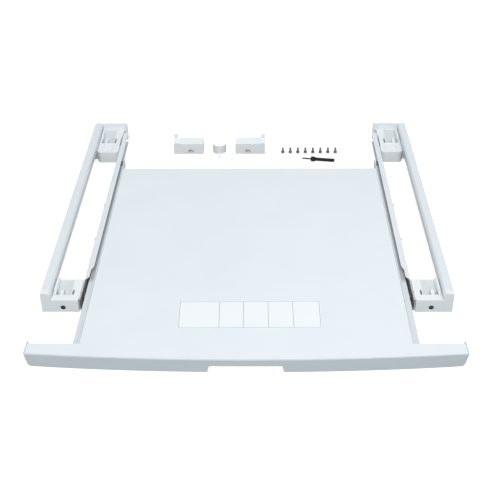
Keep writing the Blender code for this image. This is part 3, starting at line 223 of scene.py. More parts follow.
# Bare sticker on the tray, from the photograph's own place and size
STICKER_CORNERS = ((-0.0954, -0.0657), (0.1053, -0.0640), (0.1053, -0.0016), (-0.0970, -0.0031))
STICKER_FIELDS = (0.0, 0.284, 0.456, 0.633, 0.81, 1.0)
STICKER_THICK = 0.00008
STICKER_MARGIN = 0.0016

# Screws and loose parts
ARCH_PLACE = 0.032
ARCH_HALF_WIDTH = 0.0052
ARCH_FOOT = 0.0024
ARCH_RISE = 0.0021
ARCH_TUNNEL = 0.010
ARCH_WALL = 0.002
BRACKET_WALL = 0.0025
TAB_WIDTH = 0.0072
TAB_STEP = 0.004
TAB_STEP_RISE = 0.0024
BRACKET_HEIGHT = 0.0218
TAB_START = 0.0165
TAB_DEPTH = 0.005
TAB_FILLET = 0.0012
BRACKET_SWELL = 0.0012
BRACKET_SWELL_START = 0.018
RETAINER_WALL = 0.002
RETAINER_TONGUE = 0.0034
PAN_BAR_SHARE = 0.16  # of the head's radius: half the width of the recess's bars
PAN_ARM_SHARE = 0.58
PAN_DIP_SHARE = 0.62  # of the head's height
PAN_DOME_SHARE = 0.94  # of the dome's curve, as far as the head's rim
PAN_STEPS = 48  # round the head
FIXED_SCREW_HEAD = 0.0012
FIXED_SCREW_SHANK = 0.0015
SCREW_HEAD_HEIGHT = 0.0034
SCREW_HEAD_RADIUS = 0.0034
SCREW_DOME = 0.0009
SCREW_SHOULDER = 0.001
SCREW_SHANK = 0.0022
SCREW_COLLAR = 0.0008
SCREW_COLLAR_RADII = (0.0028, 0.0025)
SCREW_TIP = 0.0016
SCREW_RUN_IN = 0.0006
SCREW_ROOT_SHARE = 0.84
SCREW_STEPS = 40  # round the thread
SCREW_COUNT = 8
DRIVER_COLLAR = 0.0082
DRIVER_COLLAR_RADIUS = 0.0047
DRIVER_HANDLE = 0.0362
DRIVER_HANDLE_RADIUS = 0.0032
DRIVER_SHAFT = 0.017
DRIVER_SHAFT_RADIUS = 0.0015
DRIVER_CHAMFER = 0.0009
DRIVER_BEVEL = 0.002
DRIVER_SINK = 0.0008
DRIVER_FLUTE = 0.00055
DRIVER_KNURL = 0.0003
DRIVER_FADE = 0.002  # over which the flutes end; the knurls end over half of it
DRIVER_POINT = 0.003  # from the tip, where its four flutes begin
DRIVER_POINT_RUN = 0.0012
DRIVER_POINT_CUT = 0.45  # of the shaft's radius
DRIVER_TURN = math.radians(-4.5)
HANDLE_STEPS = 96  # round the handle
SHAFT_STEPS = 48

# Finishes
# Painted shade in the runners: the depth over which it fades from dark to half shade, and how far a cloudy
# noise moves its edges
SHADE_FADE = 0.018
DRIFT_REACH = 0.004
# painted shade: the drawer runners' tracks are this much darker than the coat in front of the frames, as
# shade beside the tray's edge
TRACK_SHADE = 0.9
TREAD_SHADE = 0.5  # of the channels' painted shade, for the painted shade on the rollers' treads
# painted light: the loose brackets and retainer get the blocks' white moulding this much lighter, to look
# more brightly lit
BRACKET_PAINTED_LIGHT = 1.06
DARK_STEEL_SHADE = 0.28
HANDLE_SHINE = 0.2
RUNNER_PEEL = 900.0  # noise scale of a coat's orange peel
TRAY_PEEL = (620.0, 0.00002)  # and the depth of its relief
FASCIA_GRAIN = (3400.0, 0.28, 0.40)  # noise scale of a plastic's grain, and its least and largest roughness
NYLON_GRAIN = (2000.0, 0.30, 0.45)
HANDLE_GRAIN = (2400.0, 0.32, 0.5)
DARK_STEEL_GLOSS = (0.3, 0.5)  # least and largest roughness
HOLE_SHADE_AND_RIVET_GLOSS = (0.35, 0.6)
STICKER_INK = (0.25, 0.27, 0.29)

# Camera of the photograph
CAMERA_PLACE = (0.01925, -1.27139, 0.82676)
CAMERA_PITCH = math.radians(34.053)
CAMERA_YAW = math.radians(-0.75)
CAMERA_ROLL = math.radians(-0.4515)
CAMERA_LENS = 66.50
CAMERA_SENSOR = 36.0

# Studio
FLOOR_REACH = 30.0
FLOOR_GREY = 0.4
ROOM_COLOUR = (0.96, 0.98, 1.0, 1)
HORIZON = -0.03
LAMPS = {"overhead": ((0.55, 0.5, 2.3), 3.0), "key": ((-0.1, -3.6, 2.9), 2.2)}  # places and sizes

TINY = 0.00001
LEAST_LENGTH = 1e-12  # keeps a division by a length from nought
LEAST_COSINE = 1e-9  # and one by a cosine or a sine
PAST_ROUND = 1.3  # of a soft edge's radius, where a block's flat face begins
PAST_RIM = 1.4  # of a rim's radius, where the fascia's flat face begins


def length_field(name, description, default, low, high):
    """A length that a user may set."""
    return FloatProperty(
        name=name, description=description, default=default, min=low, max=high, unit="LENGTH", precision=5
    )


def colour_field(name, description, default):
    """A base colour that a user may set, in linear light."""
    return FloatVectorProperty(
        name=name, description=description, default=default, size=3, min=0, max=1, subtype="COLOR"
    )


def power_field(name, description, default):
    """A lamp's power that a user may set."""
    return FloatProperty(name=name, description=description, default=default, min=0, max=1000, unit="POWER")


def strength_field(name, description, default):
    """The strength of a surface's or the room's light that a user may set."""
    return FloatProperty(name=name, description=description, default=default, min=0, max=5)


class KitSizes(bpy.types.PropertyGroup):
    """Sizes of the fine detail that a user may change."""

    moulding_edge: length_field(
        "Moulding edge", "Round on the edges of the moulded blocks", 0.0007, 0.0002, 0.0012
    )
    recess_edge: length_field(
        "Recess edge", "Round on the rims of seats, slots and ribs", 0.0004, 0.0001, 0.0006
    )
    sheet_edge: length_field("Sheet edge", "Broken edge of the sheet metal", 0.00015, 0.00005, 0.0003)
    fascia_edge: length_field("Fascia edge", "Round on the edges of the fascia", 0.0007, 0.0002, 0.0012)
    thread_pitch: length_field("Thread pitch", "Pitch of the loose screws' thread", 0.0014, 0.0008, 0.0025)
    sticker_line: length_field("Sticker line", "Width of the sticker's printed border", 0.0006, 0.0002, 0.002)
    flutes: IntProperty(
        name="Handle flutes", description="Flutes round the screwdriver's handle", default=8, min=3, max=16
    )


class KitColours(bpy.types.PropertyGroup):
    """Base colours of the finishes, in linear light."""

    coat: colour_field("White coat", "Powder coat of the rails and runners", (0.68, 0.725, 0.755))
    tray: colour_field("Tray coat", "Coat of the tray sheet", (0.715, 0.757, 0.787))
    moulding: colour_field(
        "White moulding", "Plastic of the foot blocks and loose brackets", (0.735, 0.77, 0.795)
    )
    # Painted shade: the dark colour that stands in for the shade deep in the frame runners' channels, and
    # darker still on the rollers' treads
    grease: colour_field(
        "Grease", "Greased steel inside the channels of the frame runners", (0.20, 0.21, 0.22)
    )
    # Painted half shade in the channels and on the drawer runners' tracks, where they lie inside the frames
    film: colour_field("Grease film", "Coated steel under a thin film of grease", (0.37, 0.395, 0.41))
    # A plated colour for two places: painted shade deep in the front blocks' screw holes, and the rings of
    # the rear pins' rivets
    insert: colour_field(
        "Insert", "Plated inserts in the screw holes of the front blocks", (0.50, 0.51, 0.52)
    )
    # Painted shade in the seats of the dryer's feet: darker than the white moulding, as the shade in the
    # recesses
    pad: colour_field("Grip pad", "Soft grip layer in the seats of the dryer's feet", (0.56, 0.60, 0.61))
    # Darker than the other white mouldings: painted shade for the fascia, whose front faces away from the
    # light
    fascia: colour_field("Fascia moulding", "Plastic of the tray's front", (0.515, 0.58, 0.616))
    nylon: colour_field("Roller nylon", "Nylon of the four rollers", (0.62, 0.63, 0.62))
    steel: colour_field("Zinc steel", "Plated steel of screws and pins", (0.20, 0.206, 0.222))
    handle: colour_field("Black handle", "Plastic of the screwdriver's handle", (0.007, 0.0075, 0.009))
    sticker: colour_field("Sticker", "Film of the bare sticker", (0.78, 0.815, 0.835))


class KitStudio(bpy.types.PropertyGroup):
    """Light of the studio."""

    overhead: power_field("Overhead light", "Power of the wide soft light above, to the right", 25.5)
    key: power_field("Key light", "Power of the soft light far in front", 130.0)
    sky: strength_field("Room light", "Strength of the even light from above", 0.5)
    below: strength_field("Table light", "Strength of the light that comes back from below", 0.15)
    floor_glow: strength_field("Floor glow", "Light that the lit table gives by itself", 0.8)


def at(depth):
    """Place along Y of a depth behind the side frames' front face."""
    return FRONT_FACE + depth


# Plane outlines

def rounded_path(points, radii, steps=6):
    """A bent line whose corners are arcs, each of which touches both legs.

    It does so at the radius over the tangent of half the angle between the legs.
    """
    points = np.asarray(points, float)
    out = [points[:1]]
    for before, corner, after, radius in zip(points, points[1:], points[2:], radii):
        u = (before - corner) / np.linalg.norm(before - corner)
        v = (after - corner) / np.linalg.norm(after - corner)
        half = math.acos(float(np.clip(u @ v, -1, 1))) / 2
        if radius < TINY or half > math.pi / 2 - 0.01:
            out.append(corner[None])
            continue
        middle = corner + (u + v) / np.linalg.norm(u + v) * radius / math.sin(half)
        first = corner + u * radius / math.tan(half) - middle
        last = corner + v * radius / math.tan(half) - middle
        share = np.linspace(0, 1, steps + 1)[:, None]
        sweep = math.pi - 2 * half
        arc = (np.sin((1 - share) * sweep) * first + np.sin(share * sweep) * last) / math.sin(sweep)
        out.append(middle + arc)
    out.append(points[-1:])
    return np.vstack(out)


def bisectors(line, closed):
    """Left-hand offset at each point: the sum of both legs' normals over one plus their dot product."""
    if closed:
        legs = np.roll(line, -1, 0) - line
    else:
        legs = np.vstack([np.diff(line, axis=0), line[-1:] - line[-2:-1]])
    legs /= np.maximum(np.linalg.norm(legs, axis=1, keepdims=True), LEAST_LENGTH)
    normals = np.stack([-legs[:, 1], legs[:, 0]], 1)
    before = np.roll(normals, 1, 0)
    if not closed:
        before[0] = normals[0]
    return (normals + before) / (1 + np.sum(normals * before, 1, keepdims=True))


def folded_outline(path, wall):
    """Closed outline of a sheet whose right-hand face is the path and whose wall lies to its left."""
    path = np.asarray(path, float)
    return np.vstack([path, (path + bisectors(path, False) * wall)[::-1]])


def turned_left(outline):
    """The outline in the order that keeps its inside on the left."""
    x, y = outline[:, 0], outline[:, 1]
    area = np.sum(x * np.roll(y, -1) - np.roll(x, -1) * y)
    return outline if area > 0 else outline[::-1]


def arc_points(middle, radius, start, end, steps):
    """Points on an arc: middle plus radius times cosine and sine of evenly spaced angles in degrees."""
    angles = np.radians(np.linspace(start, end, steps + 1))
    return np.stack([middle[0] + radius * np.cos(angles), middle[1] + radius * np.sin(angles)], 1)


# Surfaces, each given as points and faces

def quarter(radius, count):
    """Distances from a rim along its quarter circle: the radius times one minus the cosine of even angles."""
    return radius * (1 - np.cos(np.linspace(0, math.pi / 2, count)))


def merged(*lines):
    """All values once and in order, to a tenth of a micrometre."""
    return np.unique(np.round(np.concatenate(lines), 7))


def grid_faces(rows, columns, close_rows=False, close_columns=False):
    """The four corners of every cell of a grid stored row by row, with either direction closed on itself."""
    r = np.arange(rows if close_rows else rows - 1)[:, None]
    c = np.arange(columns if close_columns else columns - 1)[None, :]
    r2, c2 = (r + 1) % rows, (c + 1) % columns
    corners = np.stack([r * columns + c, r2 * columns + c, r2 * columns + c2, r * columns + c2], -1)
    return corners.reshape(-1, 4)


def ringed(loops, closed=False):
    """Closed loops of equal length joined in order, and the last to the first where closed is set."""
    loops = np.asarray(loops, float)
    return loops.reshape(-1, 3), grid_faces(*loops.shape[:2], closed, True).tolist()


def lofted(loops):
    """Closed loops of equal length joined in order, with a flat face on the first and the last."""
    points, faces = ringed(loops)
    count, around = len(points), len(loops[0])
    return points, faces + [list(range(around)), list(range(count - around, count))[::-1]]


PLANE_AXES = {"plan": (0, 1, 2), "front": (0, 2, 1), "side": (1, 2, 0)}


def placed(outline, height, plane):
    """A plane outline at a height square to its plane: plan is XY, front is XZ and side is YZ."""
    out = np.empty((len(outline), 3))
    out[:, PLANE_AXES[plane]] = np.column_stack([outline, np.full(len(outline), height)])
    return out


def rounded_prism(outline, ends, plane, edge, steps=3):
    """An outline carried between two ends, its rims rounded.

    They are inset by the edge times one minus the sine of an angle, and in from the end by the edge times one
    minus its cosine.
    """
    outline = turned_left(np.asarray(outline, float))
    way = bisectors(outline, True)
    low, high = sorted(ends)
    insets = edge * (1 - np.sin(np.linspace(0, math.pi / 2, steps + 1)))
    rises = quarter(edge, steps + 1)
    loops = [placed(outline + way * i, low + r, plane) for i, r in zip(insets, rises)]
    loops += [placed(outline + way * i, high - r, plane) for i, r in zip(insets[::-1], rises[::-1])]
    return lofted(loops)


def soft_box(low, high, radius, steps=3):
    """A box with round edges: its skin is pulled to the inner box and then pushed out by the radius."""
    low, high = np.asarray(low, float), np.asarray(high, float)
    shift = quarter(radius, steps + 1)
    lines = [np.concatenate([low[k] + shift, high[k] - shift[::-1]]) for k in range(3)]
    blocks = []
    for axis in range(3):
        others = [k for k in range(3) if k != axis]
        a, b = np.meshgrid(lines[others[0]], lines[others[1]], indexing="ij")
        for side, wall in enumerate((low[axis], high[axis])):
            skin = np.empty(a.shape + (3,))
            skin[..., others[0]], skin[..., others[1]], skin[..., axis] = a, b, wall
            core = np.clip(skin, low + radius, high - radius)
            away = skin - core
            points = core + away / np.linalg.norm(away, axis=-1, keepdims=True) * radius
            faces = grid_faces(*a.shape)
            flip = (axis == 1) == (side == 1)
            blocks.append((points.reshape(-1, 3), (faces[:, ::-1] if flip else faces).tolist()))
    return joined(*blocks)


def turned(radius, height, turn):
    """Points about Z for rows of radius and height: x and y are the radius times cosine and sine."""
    return np.stack([radius * np.cos(turn), radius * np.sin(turn), height + 0 * turn], -1)


def full_turn(steps):
    """Evenly spaced angles of a full turn, as one row."""
    return np.linspace(0, 2 * math.pi, steps, endpoint=False)[None, :]


def turned_profile(profile, turn):
    """Points about Z for a profile of radius and height."""
    radius, height = np.hsplit(np.asarray(profile, float), 2)
    return turned(radius, height, turn)


def lathed(profile, steps, closed=False):
    """A profile of radius and height turned about Z."""
    return ringed(turned_profile(profile, full_turn(steps)), closed)


def joined(*blocks):
    """Several lots of points and faces as one."""
    points, faces, start = [], [], 0
    for block_points, block_faces in blocks:
        points.append(block_points)
        faces += [[corner + start for corner in face] for face in block_faces]
        start += len(block_points)
    return np.vstack(points), faces


def moved(block, place=(0, 0, 0), turn=None):
    """The block turned by a matrix and then moved."""
    points, faces = block
    if turn is not None:
        points = points @ np.array(turn.to_3x3()).T
    return points + np.asarray(place, float), faces


def mirrored(block):
    """The left-hand twin: x changes its sign and the faces their order."""
    points, faces = block
    return points * np.array([-1, 1, 1]), [face[::-1] for face in faces]


def shell(outer, inner, solid, skip=None):
    """A wall between two surfaces over one grid whose cells are solid or open.

    The outer and inner skins cover the solid cells, and a strip joins them wherever a solid cell meets an
    open one or the grid's border. skip marks grid edges of the first row that get no strip.
    """
    nu, nv = solid.shape[0] + 1, solid.shape[1] + 1
    index = np.arange(nu * nv).reshape(nu, nv)
    far = nu * nv
    cells = np.stack([index[:-1, :-1], index[1:, :-1], index[1:, 1:], index[:-1, 1:]], -1)[solid]
    padded = np.pad(solid, 1)
    i, j = np.nonzero(padded[1:, 1:-1] != padded[:-1, 1:-1])
    a, b = index[i, j], index[i, j + 1]
    along_u = np.stack([a, b, b + far, a + far], -1)
    along_u = np.where(padded[i + 1, j + 1][:, None], along_u, along_u[:, ::-1])
    change = padded[1:-1, 1:] != padded[1:-1, :-1]
    if skip is not None:
        change[:, 0] &= ~skip
    i, j = np.nonzero(change)
    a, b = index[i, j], index[i + 1, j]
    along_v = np.stack([a, a + far, b + far, b], -1)
    along_v = np.where(padded[i + 1, j + 1][:, None], along_v, along_v[:, ::-1])
    faces = np.vstack([cells, cells[:, ::-1] + far, along_u, along_v])
    points = np.vstack([outer.reshape(-1, 3), inner.reshape(-1, 3)])
    used, faces = np.unique(faces, return_inverse=True)
    return points[used], faces.reshape(-1, 4).tolist()


def slab(x, y, top, bottom, solid, skip=None):
    """The wall between a top and a bottom height over one plan grid."""
    return shell(np.stack([x, y, top], -1), np.stack([x, y, bottom], -1), solid, skip)


def edge_fall(distance, radius):
    """How far a surface sinks near its rim: a quarter circle that ends one radius inside."""
    inside = np.clip(distance, 0, radius)
    return radius - np.sqrt(np.maximum(radius**2 - (radius - inside) ** 2, 0))


def away_from(x, y, span_x, span_y):
    """Distance to a rectangle, negative inside it, where it is the distance to the nearest side."""
    dx = np.maximum(span_x[0] - x, x - span_x[1])
    dy = np.maximum(span_y[0] - y, y - span_y[1])
    outside = np.hypot(np.maximum(dx, 0), np.maximum(dy, 0))
    return np.where((dx < 0) & (dy < 0), np.maximum(dx, dy), outside)


def rim_lines(soft, plain, radius, low, high):
    """Grid lines: five on each side of a soft edge, as the round needs them, and three at a plain edge."""
    near = np.concatenate([[TINY], quarter(radius, 5)[1:], [radius * PAST_ROUND]])
    lines = [np.add.outer(np.asarray(soft), np.concatenate([-near, [0], near])).ravel()]
    lines.append(np.add.outer(np.asarray(plain), np.array([-TINY, 0, TINY])).ravel())
    lines = merged(np.clip(np.concatenate(lines), low, high))
    keep = np.concatenate([[True], np.diff(lines) > TINY / 2])
    return lines[keep]


def cell_middles(x, y):
    """Both coordinates of the middle of each cell of a grid."""
    return (x[:-1, :-1] + x[1:, 1:]) / 2, (y[:-1, :-1] + y[1:, 1:]) / 2


def without(chosen, x, y, spans):
    """The chosen places less those that lie in one of the rectangles, each given as its two spans."""
    for span_x, span_y in spans:
        chosen = chosen & (away_from(x, y, span_x, span_y) >= 0)
    return chosen


# Objects

def piece(name, block, body, slot, smooth=40.0, weld=TINY / 3):
    """One finished piece from points and faces: doubles merged, faces turned out, and hung on its body."""
    points, faces = block
    mesh = bpy.data.meshes.new(name)
    mesh.from_pydata(points.tolist(), [], faces)
    shape = bmesh.new()
    shape.from_mesh(mesh)
    bmesh.ops.remove_doubles(shape, verts=shape.verts, dist=weld)
    bmesh.ops.dissolve_degenerate(shape, dist=weld / 10, edges=shape.edges)
    bmesh.ops.recalc_face_normals(shape, faces=shape.faces)
    shape.to_mesh(mesh)
    shape.free()
    mesh.shade_smooth()
    mesh.set_sharp_from_angle(angle=math.radians(smooth))
    obj = bpy.data.objects.new(name, mesh)
    bpy.context.scene.collection.objects.link(obj)
    mesh.materials.append(finish_for(slot))
    even = obj.modifiers.new("even_shading", "WEIGHTED_NORMAL")
    even.keep_sharp = True
    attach(obj, body)
    return obj


def finished(name, block, body, slot, smooth=40.0):
    """The finished piece in place of the CAD node of the same name."""
    obj = piece(name + "_finish", block, body, slot, smooth)
    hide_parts(name)
    return obj


def both_sides(name, block, body, slot, smooth=40.0):
    """The right-hand piece and its mirrored left-hand twin."""
    shapes = {"right": block, "left": mirrored(block)}
    return [finished(f"{name}_{side}", shape, body, slot, smooth) for side, shape in shapes.items()]


def repainted(objs, slot, chosen):
    """Gives the faces that chosen picks, from their middles and normals, the finish of another slot."""
    for obj in objs:
        mesh = obj.data
        mesh.materials.append(finish_for(slot))
        middles, normals = np.empty(len(mesh.polygons) * 3), np.empty(len(mesh.polygons) * 3)
        cells = np.empty(len(mesh.polygons), np.int32)
        mesh.polygons.foreach_get("center", middles)
        mesh.polygons.foreach_get("normal", normals)
        mesh.polygons.foreach_get("material_index", cells)
        cells[chosen(middles.reshape(-1, 3), normals.reshape(-1, 3))] = len(mesh.materials) - 1
        mesh.polygons.foreach_set("material_index", cells)


# Finishes

def node(tree, kind, place, **inputs):
    """A node of a kind with its inputs set or linked; a name with a leading underscore sets a property."""
    made = tree.nodes.new(kind)
    made.location = place
    for key, value in inputs.items():
        if key.startswith("_"):
            setattr(made, key[1:], value)
            continue
        socket = made.inputs[key.replace("_", " ")]
        if isinstance(value, bpy.types.NodeSocket):
            tree.links.new(value, socket)
        else:
            socket.default_value = value
    return made


def shaded(colour, factor):
    """The colour with every channel times a factor."""
    return [channel * factor for channel in colour]


def tint(colour, factor):
    """The shaded colour as a node's colour."""
    return (*[min(channel, 1.0) for channel in shaded(colour, factor)], 1.0)


class Finish:
    """A new material, to whose shader the methods add colour, gloss and relief."""

    def __init__(self, name):
        self.material = bpy.data.materials.new(name)
        self.material.use_nodes = True
        self.tree = self.material.node_tree
        self.shader = self.tree.nodes["Principled BSDF"]
        self.where = node(self.tree, "ShaderNodeTexCoord", (-1200, 0)).outputs["Object"]

    def link(self, source, name):
        """Links a source to an input of the shader."""
        self.tree.links.new(source, self.shader.inputs[name])

    def noise(self, scale, detail, place, roughness=0.5, where=None):
        """Fractal noise from nought to one, in the object's own coordinates or stretched ones."""
        made = node(
            self.tree, "ShaderNodeTexNoise", place, Vector=self.where if where is None else where,
            Scale=scale, Detail=detail, Roughness=roughness,
        )
        return made.outputs["Fac"]

    def stretched(self, scale, place):
        """The object's own coordinates times a scale along each axis."""
        return node(self.tree, "ShaderNodeMapping", place, Vector=self.where, Scale=scale).outputs["Vector"]

    def spread(self, source, low, high, place):
        """Carries nought to one of a source onto low to high."""
        made = node(self.tree, "ShaderNodeMapRange", place, Value=source, To_Min=low, To_Max=high)
        return made.outputs["Result"]

    def mixed(self, first, second, share, place=(-600, -300)):
        """Two values mixed by a share of the second."""
        return node(self.tree, "ShaderNodeMix", place, Factor=share, A=first, B=second).outputs["Result"]

    def two_tone(self, factor, colour, low, high):
        """Base colour between two tints of one colour, by a noise."""
        ramp = node(self.tree, "ShaderNodeValToRGB", (-500, 300), Fac=factor)
        for element, position, share in zip(ramp.color_ramp.elements, (0.3, 0.7), (low, high)):
            element.position = position
            element.color = tint(colour, share)
        self.link(ramp.outputs["Color"], "Base Color")

    def gloss(self, source, low, high):
        """Roughness between two values, by a noise."""
        self.link(self.spread(source, low, high, (-600, 0)), "Roughness")

    def relief(self, height, strength, distance):
        """Bump of a height in metres on the shader's normal."""
        bump = node(
            self.tree, "ShaderNodeBump", (-250, -300), Height=height, Strength=strength, Distance=distance
        )
        self.link(bump.outputs["Normal"], "Normal")


def powder_coat(name, colour, peel=700.0, depth=0.00003):
    """White powder coat on sheet: soft orange peel over fine grain, with gloss that wanders a little."""
    finish = Finish(name)
    finish.two_tone(finish.noise(14.0, 3.0, (-900, 300)), colour, 0.985, 1.012)
    finish.gloss(finish.noise(60.0, 4.0, (-900, 100)), 0.34, 0.48)
    orange_peel = finish.noise(peel, 1.0, (-900, -100))
    grain = finish.noise(peel * 4, 2.0, (-900, -400))
    finish.relief(finish.mixed(orange_peel, grain, 0.3), 0.35, depth)
    finish.shader.inputs["IOR"].default_value = 1.48
    return finish.material


def moulded_plastic(name, colour, grain_scale=2600.0, low=0.36, high=0.52, shine=0.5):
    """Injection moulded plastic: eroded fine grain, faint flow marks and slightly uneven gloss."""
    finish = Finish(name)
    streak = finish.noise(1.0, 4.0, (-900, 300), 0.6, finish.stretched((9.0, 34.0, 34.0), (-1100, 300)))
    finish.two_tone(streak, colour, 0.975, 1.015)
    finish.gloss(streak, low, high)
    grain = finish.noise(grain_scale, 2.0, (-900, -200))
    coarse = finish.noise(grain_scale / 3, 1.0, (-900, -450))
    finish.relief(finish.mixed(grain, coarse, 0.4), 0.3, 0.000025)
    finish.shader.inputs["IOR"].default_value = 1.5
    finish.shader.inputs["Specular IOR Level"].default_value = shine
    return finish.material


def shaded_seat(name, colour):
    """Painted shade for the seats: a darker, matt colour with fine cross ribs and a cloudy surface."""
    finish = Finish(name)
    cloud = finish.noise(90.0, 4.0, (-900, 200), 0.6)
    finish.two_tone(cloud, colour, 0.96, 1.04)
    finish.gloss(cloud, 0.62, 0.78)
    ribs = node(
        finish.tree, "ShaderNodeTexWave", (-900, -200), Vector=finish.where, Scale=160.0, Distortion=0.4,
        _bands_direction="Y",
    )
    grain = finish.noise(2400.0, 3.0, (-900, -450))
    finish.relief(finish.mixed(ribs.outputs["Fac"], grain, 0.4), 0.4, 0.00008)
    return finish.material


def depth_shaded_coat(name, stops):
    """Coated steel of a runner, with painted shade along its depth.

    Its colour passes through the stops, each a depth and a colour, darker where the runner lies in shade, and
    cloudy noise moves the edges between them.
    """
    finish = Finish(name)
    drift = finish.noise(45.0, 4.0, (-1100, 400), 0.6)
    along = node(finish.tree, "ShaderNodeSeparateXYZ", (-1100, 600), Vector=finish.where)
    shifted = node(finish.tree, "ShaderNodeMath", (-800, 500))
    shift = finish.spread(drift, -DRIFT_REACH, DRIFT_REACH, (-950, 400))
    for source, socket in zip((along.outputs["Y"], shift), shifted.inputs):
        finish.tree.links.new(source, socket)
    first, last = stops[0][0], stops[-1][0]
    share = node(
        finish.tree, "ShaderNodeMapRange", (-650, 500), Value=shifted.outputs["Value"],
        From_Min=at(first), From_Max=at(last),
    )
    ramp = node(finish.tree, "ShaderNodeValToRGB", (-450, 400), Fac=share.outputs["Result"])
    elements = ramp.color_ramp.elements
    for depth, _ in stops[1:-1]:
        elements.new((depth - first) / (last - first))
    for element, (_, colour) in zip(elements, stops):
        element.color = tint(colour, 1)
    finish.link(ramp.outputs["Color"], "Base Color")
    finish.gloss(drift, 0.34, 0.55)
    grain = finish.noise(1800.0, 2.0, (-900, -300))
    finish.relief(finish.mixed(drift, grain, 0.5), 0.3, 0.00003)
    return finish.material


def plated_steel(name, colour, low=0.26, high=0.46):
    """Zinc plated steel: cloudy plate with fine drawn lines and darker patches."""
    finish = Finish(name)
    lines = finish.noise(1.0, 3.0, (-900, -200), 0.6, finish.stretched((900.0, 900.0, 5200.0), (-1100, 200)))
    cloud = finish.noise(420.0, 4.0, (-900, 200), 0.6)
    finish.two_tone(cloud, colour, 0.72, 1.12)
    finish.gloss(finish.mixed(lines, cloud, 0.5, (-750, 0)), low, high)
    finish.relief(lines, 0.25, 0.00001)
    finish.shader.inputs["Metallic"].default_value = 1.0
    return finish.material


def sticker_film(name, colour):
    """Paper sticker under a clear film: faint fibre in the colour, an even low sheen."""
    finish = Finish(name)
    fibre = finish.noise(1500.0, 6.0, (-900, 200), 0.7)
    finish.two_tone(fibre, colour, 0.98, 1.015)
    finish.gloss(fibre, 0.30, 0.42)
    finish.relief(fibre, 0.12, 0.00001)
    return finish.material


FINISHES = {}


def finish_for(slot):
    """The procedural finish of a material slot, made the first time that it is asked for."""
    if slot in FINISHES:
        return FINISHES[slot]
    colours = bpy.context.scene.kit_colours
    # a lighter copy of the white moulding, painted light for the loose parts
    moulding = shaded(colours.moulding, BRACKET_PAINTED_LIGHT)
    tread = shaded(colours.grease, TREAD_SHADE)
    track = shaded(colours.coat, TRACK_SHADE)
    dark = shaded(colours.steel, DARK_STEEL_SHADE)
    # Painted shade in the channel: darkest at the front, half shade further in, and the plain coat at the
    # rear end
    channel_stops = (
        (0, colours.grease), (ENTRY_PLACES[3], colours.grease), (ENTRY_PLACES[3] + SHADE_FADE, colours.film),
        (TRAY_REAR - SHADE_FADE, colours.film), (TRAY_REAR, colours.coat),
    )
    # Painted shade on the drawer runners' tracks: a little darker in front of the frames, half shade inside
    # them
    track_stops = (
        (FASCIA_BACK, track), (ENTRY_PLACES[0] - SHADE_FADE / 4, track), (ENTRY_PLACES[1], colours.film),
        (TRAY_REAR, colours.film),
    )
    makers = {
        "rail_sheet": (powder_coat, "rail_coat", colours.coat),
        "runner_steel": (powder_coat, "runner_coat", colours.coat, RUNNER_PEEL),
        "stiffener_steel": (powder_coat, "stiffener_coat", colours.coat, RUNNER_PEEL),
        "tray_sheet": (powder_coat, "tray_coat", colours.tray, *TRAY_PEEL),
        "block_moulding": (moulded_plastic, "block_plastic", colours.moulding),
        "bracket_moulding": (moulded_plastic, "bracket_plastic", moulding),
        # the fascia's darker colour is painted shade
        "fascia_moulding": (moulded_plastic, "fascia_plastic", colours.fascia, *FASCIA_GRAIN),
        "roller_nylon": (moulded_plastic, "roller_plastic", colours.nylon, *NYLON_GRAIN),
        # painted shade on the rollers' treads
        "tread_painted_shade": (moulded_plastic, "tread_grease", tread, *NYLON_GRAIN),
        "black_handle": (moulded_plastic, "handle_plastic", colours.handle, *HANDLE_GRAIN, HANDLE_SHINE),
        "zinc_steel": (plated_steel, "zinc_plate", colours.steel),
        "dark_steel": (plated_steel, "dark_plate", dark, *DARK_STEEL_GLOSS),
        # painted shade deep in the screw holes, and the rear rivets' rings
        "hole_shade_and_rivet_plate": (plated_steel, "insert_plate", colours.insert, *HOLE_SHADE_AND_RIVET_GLOSS),
        # painted shade on the seats' ramps
        "seat_painted_shade": (shaded_seat, "seat_grip", colours.pad),
        # painted shade inside the frame runners' channels
        "channel_painted_shade": (depth_shaded_coat, "channel_grease", channel_stops),
        # painted shade on the drawer runners' tracks
        "track_painted_shade": (depth_shaded_coat, "track_grease", track_stops),
        "sticker": (sticker_film, "sticker_film", colours.sticker),
        "sticker_ink": (sticker_film, "sticker_ink", STICKER_INK),
    }
    maker, *values = makers[slot]
    FINISHES[slot] = maker(*values)
    return FINISHES[slot]


# Side frames

def rail_section():
    """Outline of the folded rail: foot flange, outer wall, flat top, bevel and lip, with round folds."""
    path = rounded_path(
        [
            (FRAME_HALF_WIDTH - RAIL_FOOT_WIDTH, RAIL_LIFT),
            (FRAME_HALF_WIDTH, RAIL_LIFT),
            (FRAME_HALF_WIDTH, RAIL_HEIGHT),
            (FRAME_HALF_WIDTH - RAIL_TOP_WIDTH, RAIL_HEIGHT),
            (RAIL_INNER, RAIL_HEIGHT - RAIL_BEVEL),
            (RAIL_INNER, RAIL_HEIGHT - RAIL_LIP_HEIGHT),
        ],
        (RAIL_ROUND, RAIL_ROUND, RAIL_FOLD, RAIL_FOLD),
    )
    return folded_outline(path, RAIL_SHEET)


def slot_span(seat):
    """Depths between which a seat's two slots lie."""
    return seat[0], seat[0] + (seat[1] - seat[0]) * SLOT_LENGTH_SHARE


